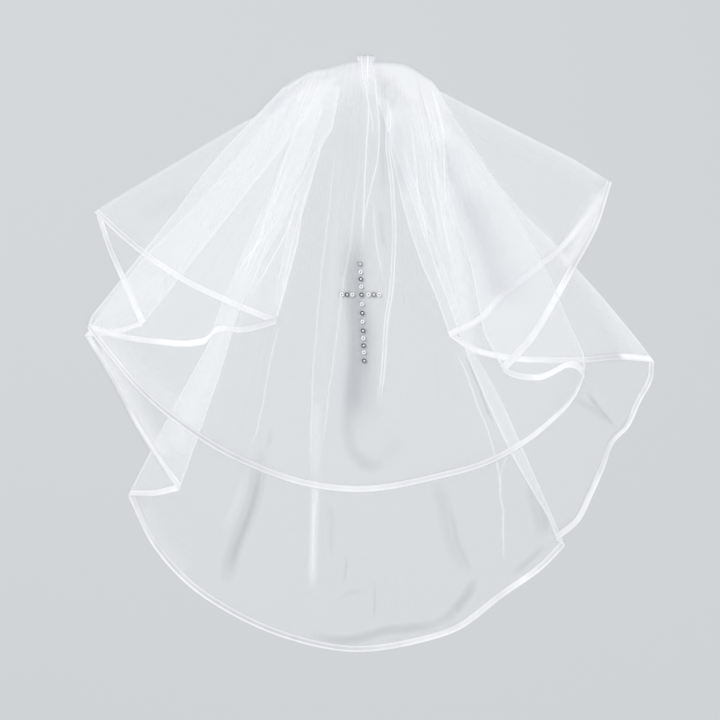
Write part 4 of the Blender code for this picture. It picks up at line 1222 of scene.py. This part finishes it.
def stitches(name, lines, tree, values):
    """A mesh of stitches along lines of points in millimetres, made by the tree."""
    corners = np.vstack(lines)
    starts = np.cumsum([0] + [len(line) for line in lines[:-1]])
    edges = [(start + i, start + i + 1) for start, line in zip(starts, lines) for i in range(len(line) - 1)]
    path = bpy.data.meshes.new(name)
    path.from_pydata(((corners + table_origin()) * MM).tolist(), edges, [])
    item = link(path, name)
    modifier = item.modifiers.new("Stitches", "NODES")
    modifier.node_group = tree
    for socket in tree.interface.items_tree:
        if socket.in_out == "INPUT" and socket.name in values:
            modifier[socket.identifier] = values[socket.name]
    depsgraph = bpy.context.evaluated_depsgraph_get()
    mesh = bpy.data.meshes.new_from_object(item.evaluated_get(depsgraph))
    item.modifiers.clear()
    item.data = mesh
    bpy.data.meshes.remove(path)
    mesh.name = name
    if not mesh.polygons:
        raise RuntimeError(f"{name}: no stitches were made")
    return item


# ---------------------------------------------------------------- materials

class Socket:
    """A node's output that can be used in sums, as a number can."""

    def __init__(self, paint, link_from):
        self.paint = paint
        self.link_from = link_from

    def sum(self, operation, *values):
        """A math node's result for these values."""
        return self.paint.node("ShaderNodeMath", {"operation": operation}, dict(enumerate(values)))

    def __add__(self, other):
        return self.sum("ADD", self, other)

    def __sub__(self, other):
        return self.sum("SUBTRACT", self, other)

    def __rsub__(self, other):
        return self.sum("SUBTRACT", other, self)

    def __mul__(self, other):
        return self.sum("MULTIPLY", self, other)

    __radd__ = __add__
    __rmul__ = __mul__


class Paint:
    """A material and the one method that adds nodes to it."""

    def __init__(self, name):
        self.material = bpy.data.materials.new(name)
        self.material.use_nodes = True
        self.tree = self.material.node_tree
        self.shader = self.tree.nodes["Principled BSDF"]

    def node(self, kind, settings=None, values=None, output=0):
        """Adds a node of a type, with its settings and the values or links of its sockets."""
        made = self.tree.nodes.new(kind)
        for key, value in (settings or {}).items():
            setattr(made, key, value)
        for key, value in (values or {}).items():
            self.put(made.inputs[key], value)
        return Socket(self, made.outputs[output])

    def put(self, socket, value):
        """Links a socket to a node's output, or sets it to a plain value."""
        if isinstance(value, Socket):
            self.tree.links.new(value.link_from, socket)
        else:
            socket.default_value = value

    def finish(self, **values):
        """Sets the shader's own sockets, by name with spaces as underscores."""
        for key, value in values.items():
            self.put(self.shader.inputs[key.replace("_", " ")], value)
        return self.material

    def attribute(self, name):
        return self.node("ShaderNodeAttribute", {"attribute_name": name}, output="Fac")

    def step(self, value, low, high):
        """0 to 1 as a value goes from low to high, with soft ends."""
        return self.node("ShaderNodeMapRange", {"interpolation_type": "SMOOTHSTEP"},
                         {"Value": value, "From Min": low, "From Max": high})

    def mix(self, share, one, other):
        return self.node("ShaderNodeMix", {"data_type": "RGBA"}, {0: share, 6: one, 7: other}, output=2)


NET_STEP = (-1.1, 0.6)          # between these sums of its waves, the net goes from thread to hole
MOST_COVER = 0.97               # of any layer, so that it is never quite solid
STRIP_COVER = 0.2               # below this cover a point is on a tuck's strip
HOLLOW_SHADE = (0.30, 0.31, 0.35, 1.0)
CLOSE_WHITE = (0.96, 0.96, 0.97, 1.0)  # of net that lies double in a tuck


def tulle_material(settings):
    """Soft six-sided net: mostly open, closer where it is pressed or gathered."""
    paint = Paint("Soft white tulle")
    cut = paint.node("ShaderNodeUVMap", {"uv_map": "cut"})
    split = paint.node("ShaderNodeSeparateXYZ", None, {0: cut})
    across = split
    up = Socket(paint, split.link_from.node.outputs["Y"])
    turn = 2 * math.pi / settings.net_cell
    lean = turn * math.sqrt(3) / 2

    def wave(value):
        return value.sum("COSINE", value)

    net = wave(across * turn) + wave(across * (turn / 2) + up * lean) + wave(across * (turn / 2) - up * lean)
    thread = 1 - paint.step(net, *NET_STEP)
    press = paint.attribute("press")
    place = paint.node("ShaderNodeTexCoord", output="Object")
    mottle = paint.node("ShaderNodeTexNoise", None, {"Vector": place, "Scale": 90.0, "Detail": 2.0})
    # press above 0 is net that lies closer, a little uneven; press below 0 is a shaded hollow
    bright = press.sum("MAXIMUM", press, 0.0) * (mottle * 0.4 + 0.8)
    shaded = press.sum("MAXIMUM", press * -1.0, 0.0)
    layer = paint.attribute("cover")
    strip = 1 - paint.step(layer, 0.0, STRIP_COVER)
    cover = layer * (thread * 0.3 + 0.85) * settings.tulle_cover
    alpha = cover + bright * settings.crease_cover + shaded * (strip * 0.6 + 0.3)
    alpha = alpha.sum("MINIMUM", alpha, MOST_COVER)
    white = paint.mix(strip, (*settings.tulle_colour, 1.0), CLOSE_WHITE)
    # a hollow on a strip has the full shade at once, so that its cover alone says how dark it looks
    dark = shaded * (strip * 18 + 1.5)
    colour = paint.mix(dark.sum("MINIMUM", dark, 1.0), white, HOLLOW_SHADE)
    return paint.finish(Base_Color=colour, Roughness=0.9, Alpha=alpha, Specular_IOR_Level=0.2)


def satin_material(settings):
    """Satin that turns from the light to the shade along the hem, with a woven edge on either side."""
    paint = Paint("White satin ribbon")
    across = paint.attribute("across")
    middle, outer, inner = (paint.attribute(name) for name in ("middle", "outer", "inner"))
    hem_side, heading_side = paint.step(across, 0.60, 0.80), 1 - paint.step(across, 0.20, 0.40)
    drift = paint.node("ShaderNodeTexNoise", {"noise_dimensions": "1D"},
                       {"W": paint.attribute("along"), "Scale": 70.0, "Detail": 2.0, "Roughness": 0.5})
    light = middle + (outer - middle) * hem_side + (inner - middle) * heading_side + (drift - 0.5) * 0.25
    light = light.sum("MINIMUM", light.sum("MAXIMUM", light, 0.0), 1.0)
    colour = paint.mix(light, (*settings.satin_shade, 1.0), (*settings.satin_colour, 1.0))
    return paint.finish(Base_Color=colour, Roughness=0.5, Specular_IOR_Level=0.2)


def gather_material():
    """Tulle drawn up into pleats, so close that it is nearly solid on their ridges, which get a painted
    highlight, with painted shade between them and along the rim.
    """
    paint = Paint("Gathered white tulle")
    press = paint.attribute("press")
    gather = paint.attribute("gather")
    cut = paint.node("ShaderNodeUVMap", {"uv_map": "cut"})
    streak = paint.node("ShaderNodeTexNoise", {"noise_dimensions": "2D"},
                        {"Vector": paint.node("ShaderNodeMapping", None, {0: cut, 3: (1.0, 0.06, 1.0)}),
                         "Scale": 900.0, "Detail": 2.0})
    alpha = gather * (0.48 + press * 0.45 + (streak - 0.5) * 0.2)
    alpha = alpha.sum("MINIMUM", alpha.sum("MAXIMUM", alpha, 0.0), MOST_COVER)
    # painted shade where the press is low, between the pleats and at the rim; painted highlight on the ridges
    colour = paint.mix(press.sum("MINIMUM", press, 1.0), (0.60, 0.60, 0.66, 1.0), (0.96, 0.96, 0.98, 1.0))
    return paint.finish(Base_Color=colour, Roughness=0.85, Alpha=alpha, Specular_IOR_Level=0.2)


def thread_material():
    """White thread with a faint twist of tones."""
    paint = Paint("White sewing thread")
    place = paint.node("ShaderNodeTexCoord", output="Object")
    ply = paint.node("ShaderNodeTexNoise", None, {"Vector": place, "Scale": 2400.0, "Detail": 1.0})
    colour = paint.mix(ply, (0.80, 0.80, 0.84, 1.0), (0.95, 0.95, 0.96, 1.0))
    return paint.finish(Base_Color=colour, Roughness=0.6, Specular_IOR_Level=0.3)


def crystal_material():
    """Foil-backed glass whose reflections and glints are painted on its facets as tones from black to white.
    """
    paint = Paint("Foil-backed crystal, reflections painted")
    tone = paint.attribute("tone")
    # black is the facets' painted dark reflection, white their painted glint
    colour = paint.mix(tone, (0.012, 0.013, 0.018, 1.0), (0.97, 0.97, 0.98, 1.0))
    return paint.finish(Base_Color=colour, Roughness=0.08, Metallic=0.25, Coat_Weight=0.3,
                        Coat_Roughness=0.03)


def pearl_material():
    """White pearl with a faint warm and cool drift, and a shaded hole."""
    paint = Paint("White pearl")
    tone = paint.attribute("tone")
    place = paint.node("ShaderNodeTexCoord", output="Object")
    drift = paint.node("ShaderNodeTexNoise", None, {"Vector": place, "Scale": 420.0, "Detail": 1.0})
    nacre = paint.mix(drift, (0.93, 0.91, 0.93, 1.0), (0.96, 0.96, 0.93, 1.0))
    colour = paint.mix(tone, (0.16, 0.16, 0.17, 1.0), nacre)
    return paint.finish(Base_Color=colour, Roughness=0.22, Coat_Weight=0.5, Coat_Roughness=0.1)


# ---------------------------------------------------------------- settings

class VeilClothSettings(bpy.types.PropertyGroup):
    thread_spacing: FloatProperty(name="Thread spacing", description="Spacing of the mesh's lines on a hem",
                                  default=0.0013, min=0.0005, unit="LENGTH")
    tulle_rows: IntProperty(name="Rows", description="Rows of the mesh down each tier", default=72, min=8)
    fold_steps: IntProperty(name="Fold steps", description="Steps round each fold", default=6, min=2)
    net_cell: FloatProperty(name="Net cell", description="Width of one hole of the net",
                            default=0.0013, min=0.0003, unit="LENGTH")
    tulle_cover: FloatProperty(name="Net cover", description="Share of one layer that its threads cover",
                               default=0.24, min=0.0, max=1.0, subtype="FACTOR")
    crease_cover: FloatProperty(name="Crease cover", description="Cover added where the net is pressed",
                                default=0.9, min=0.0, max=1.0, subtype="FACTOR")
    tulle_colour: FloatVectorProperty(name="Tulle", description="Colour of the tulle's threads",
                                      subtype="COLOR", default=(0.830, 0.838, 0.850), min=0.0, max=1.0)
    ribbon_thickness: FloatProperty(name="Ribbon thickness", description="Rise of the ribbon's welts",
                                    default=0.0003, min=0.0001, unit="LENGTH")
    satin_colour: FloatVectorProperty(name="Satin", description="Colour of the satin in the light",
                                      subtype="COLOR", default=(0.955, 0.955, 0.965), min=0.0, max=1.0)
    satin_shade: FloatVectorProperty(name="Satin shade", description="Colour of the satin out of the light",
                                     subtype="COLOR", default=(0.60, 0.60, 0.63), min=0.0, max=1.0)


class VeilStitchSettings(bpy.types.PropertyGroup):
    pitch: FloatProperty(name="Pitch", description="Distance from stitch to stitch", default=0.0026,
                         min=0.001, unit="LENGTH")
    length: FloatProperty(name="Length", description="Length of a stitch", default=0.0020, min=0.0005,
                          unit="LENGTH")
    radius: FloatProperty(name="Thread radius", description="Half the thickness of a stitch", default=0.00036,
                          min=0.0001, unit="LENGTH")
    seed: IntProperty(name="Seed", description="Which uneven lengths are drawn", default=7)


class VeilStageSettings(bpy.types.PropertyGroup):
    view_width: FloatProperty(name="View width", description="Width that the camera takes in",
                              default=0.72, min=0.1, unit="LENGTH")
    floor_size: FloatProperty(name="Floor size", description="Side of the floor", default=6.0, min=1.0,
                              unit="LENGTH")
    floor_colour: FloatVectorProperty(name="Floor", description="Colour of the floor", subtype="COLOR",
                                      default=(0.615, 0.625, 0.63), min=0.0, max=1.0)


# ---------------------------------------------------------------- operators

class VEIL_OT_tulle(bpy.types.Operator):
    """Make the tulle of both tiers"""
    bl_idname = "veil.tulle"
    bl_label = "Tulle"

    def execute(self, context):
        cloth = context.scene.veil_cloth
        net = tulle_material(cloth)
        for tier in tiers(cloth):
            item, (width, length, area) = tulle_sheet(tier, cloth)
            item.data.materials.append(net)
            item.visible_shadow = False
            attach(item, "root")
            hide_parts(f"{tier.name}_tulle")
            print(f"{item.name}: cut {width:.3f} x {length:.3f} m, {area:.3f} m2")
        return {"FINISHED"}


class VEIL_OT_ribbon(bpy.types.Operator):
    """Make the satin ribbon round both hems"""
    bl_idname = "veil.ribbon"
    bl_label = "Satin ribbon"

    def execute(self, context):
        cloth = context.scene.veil_cloth
        satin = satin_material(cloth)
        for tier in tiers(cloth):
            item = ribbon_band(tier, cloth)
            item.data.materials.append(satin)
            item.visible_shadow = False
            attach(item, "root")
            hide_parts(f"{tier.name}_ribbon")
        return {"FINISHED"}


class VEIL_OT_stitches(bpy.types.Operator):
    """Make the stitches that hold the ribbon and the gathers"""
    bl_idname = "veil.stitches"
    bl_label = "Stitches"

    def execute(self, context):
        sizes = context.scene.veil_stitches
        tree = stitch_tree(thread_material())
        values = {"Pitch": sizes.pitch, "Stitch length": sizes.length, "Thread radius": sizes.radius,
                  "Seed": sizes.seed}
        for tier in tiers(context.scene.veil_cloth):
            reach = tier.length - tier.threads.cut * (1 - STITCH_LINE)
            points, _, _ = tier.surface(reach[:, None])
            item = stitches(f"{tier.name}_ribbon_stitches", [points[:, 0]], tree, values)
            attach(item, "root")
        lines = []
        for up in GATHER_STITCH_ROWS:
            across = np.linspace(-GATHER_WIDTH / 2, GATHER_WIDTH / 2, GATHER_STITCHES)
            lines.append(np.column_stack([across, np.full(GATHER_STITCHES, up),
                                          GATHER_CREST - GATHER_BOW * across ** 2]))
        fine = {**values, "Thread radius": sizes.radius * FINE_THREAD}
        item = stitches("heading_stitches", lines, tree, fine)
        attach(item, "root")
        return {"FINISHED"}


class VEIL_OT_heading(bpy.types.Operator):
    """Make the gathered tuft at the middle of the heading"""
    bl_idname = "veil.heading"
    bl_label = "Gathered heading"

    def execute(self, context):
        item = gathers()
        item.data.materials.append(gather_material())
        item.visible_shadow = False
        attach(item, "root")
        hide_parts("heading_gather")
        return {"FINISHED"}


class VEIL_OT_cross(bpy.types.Operator):
    """Make the crystals and pearls of the cross"""
    bl_idname = "veil.cross"
    bl_label = "Cross of stones"

    def execute(self, context):
        nodes = sorted(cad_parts)
        kinds = (("crystal", "cross_crystals", make_crystal, crystal_material),
                 ("pearl", "cross_pearls", make_pearl, pearl_material))
        for slot, name, make_one, material in kinds:
            found = [node for node in nodes if node.startswith(slot)]
            if not found:
                raise RuntimeError(f"the packed part has no {slot}")
            item = stones(name, found, make_one)
            item.data.materials.append(material())
            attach(item, "root")
            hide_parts(*found)
        return {"FINISHED"}


class VEIL_OT_stage(bpy.types.Operator):
    """Make the floor, the lights and the camera"""
    bl_idname = "veil.stage"
    bl_label = "Stage"

    def execute(self, context):
        stage = context.scene.veil_stage
        floor_mesh = bpy.data.meshes.new("floor")
        half = stage.floor_size / 2
        floor_mesh.from_pydata([(-half, -half, 0), (half, -half, 0), (half, half, 0), (-half, half, 0)], [],
                               [(0, 1, 2, 3)])
        floor = link(floor_mesh, "floor")
        paint = Paint("Pale floor")
        floor.data.materials.append(paint.finish(Base_Color=(*stage.floor_colour, 1.0), Roughness=0.9,
                                                 Specular_IOR_Level=0.1))
        make_lights(context)
        make_camera(context, stage)
        return {"FINISHED"}


# Square lights, in metres and watts; each points at the middle of the stage.
Light = namedtuple("Light", "name place size energy")
LIGHTS = (Light("key", (-0.9, 0.8, 2.6), 1.6, 36.0), Light("fill", (1.4, -0.9, 2.2), 2.4, 20.0))
AIR = (0.95, 0.97, 1.0, 1.0)    # colour of the light from all round
AIR_STRENGTH = 0.55
LENS = 85.0                     # length of the camera's lens, and width of its sensor, in millimetres
SENSOR = 36.0
VIEW_MIDDLE = (-6.0, -298.0)    # place under the camera, as the tables give it
CLEAR_LAYERS = 64               # layers of net that a line of sight may pass through


def make_lights(context):
    """A wide soft light from the upper left, a wider fill from the right, and pale air all round."""
    for light in LIGHTS:
        data = bpy.data.lights.new(light.name, "AREA")
        data.shape = "SQUARE"
        data.size = light.size
        data.energy = light.energy
        item = bpy.data.objects.new(light.name, data)
        context.scene.collection.objects.link(item)
        item.location = light.place
        item.rotation_mode = "QUATERNION"
        item.rotation_quaternion = (-Vector(light.place)).to_track_quat("-Z", "Y")
    world = bpy.data.worlds.new("Pale air")
    world.use_nodes = True
    air = world.node_tree.nodes["Background"]
    air.inputs["Color"].default_value = AIR
    air.inputs["Strength"].default_value = AIR_STRENGTH
    context.scene.world = world


def make_camera(context, stage):
    """A camera straight above the veil."""
    data = bpy.data.cameras.new("camera")
    item = bpy.data.objects.new("camera", data)
    context.scene.collection.objects.link(item)
    data.lens = LENS
    data.sensor_width = SENSOR
    origin = table_origin()
    item.location = ((origin[0] + VIEW_MIDDLE[0]) * MM, (origin[1] + VIEW_MIDDLE[1]) * MM,
                     stage.view_width * LENS / SENSOR)
    context.scene.camera = item
    context.scene.view_settings.view_transform = "Standard"
    context.scene.cycles.transparent_max_bounces = CLEAR_LAYERS


class VEIL_PT_panel(bpy.types.Panel):
    """Lists the veil's pieces in the sidebar"""
    bl_idname = "VEIL_PT_panel"
    bl_label = "Communion veil"
    bl_space_type = "VIEW_3D"
    bl_region_type = "UI"
    bl_category = "Veil"

    def draw(self, context):
        for operator in OPERATORS:
            self.layout.operator(operator.bl_idname)


GROUPS = ((VeilClothSettings, "veil_cloth"), (VeilStitchSettings, "veil_stitches"),
          (VeilStageSettings, "veil_stage"))
OPERATORS = (VEIL_OT_tulle, VEIL_OT_ribbon, VEIL_OT_stitches, VEIL_OT_heading, VEIL_OT_cross, VEIL_OT_stage)


def register():
    for group, name in GROUPS:
        bpy.utils.register_class(group)
        setattr(bpy.types.Scene, name, PointerProperty(type=group))
    for operator in OPERATORS:
        bpy.utils.register_class(operator)
    bpy.utils.register_class(VEIL_PT_panel)


def unregister():
    bpy.utils.unregister_class(VEIL_PT_panel)
    for operator in reversed(OPERATORS):
        bpy.utils.unregister_class(operator)
    for group, name in reversed(GROUPS):
        delattr(bpy.types.Scene, name)
        bpy.utils.unregister_class(group)


def main():
    register()
    bpy.ops.veil.tulle()
    bpy.ops.veil.ribbon()
    bpy.ops.veil.stitches()
    bpy.ops.veil.heading()
    bpy.ops.veil.cross()
    bpy.ops.veil.stage()


if __name__ == "__main__":
    main()
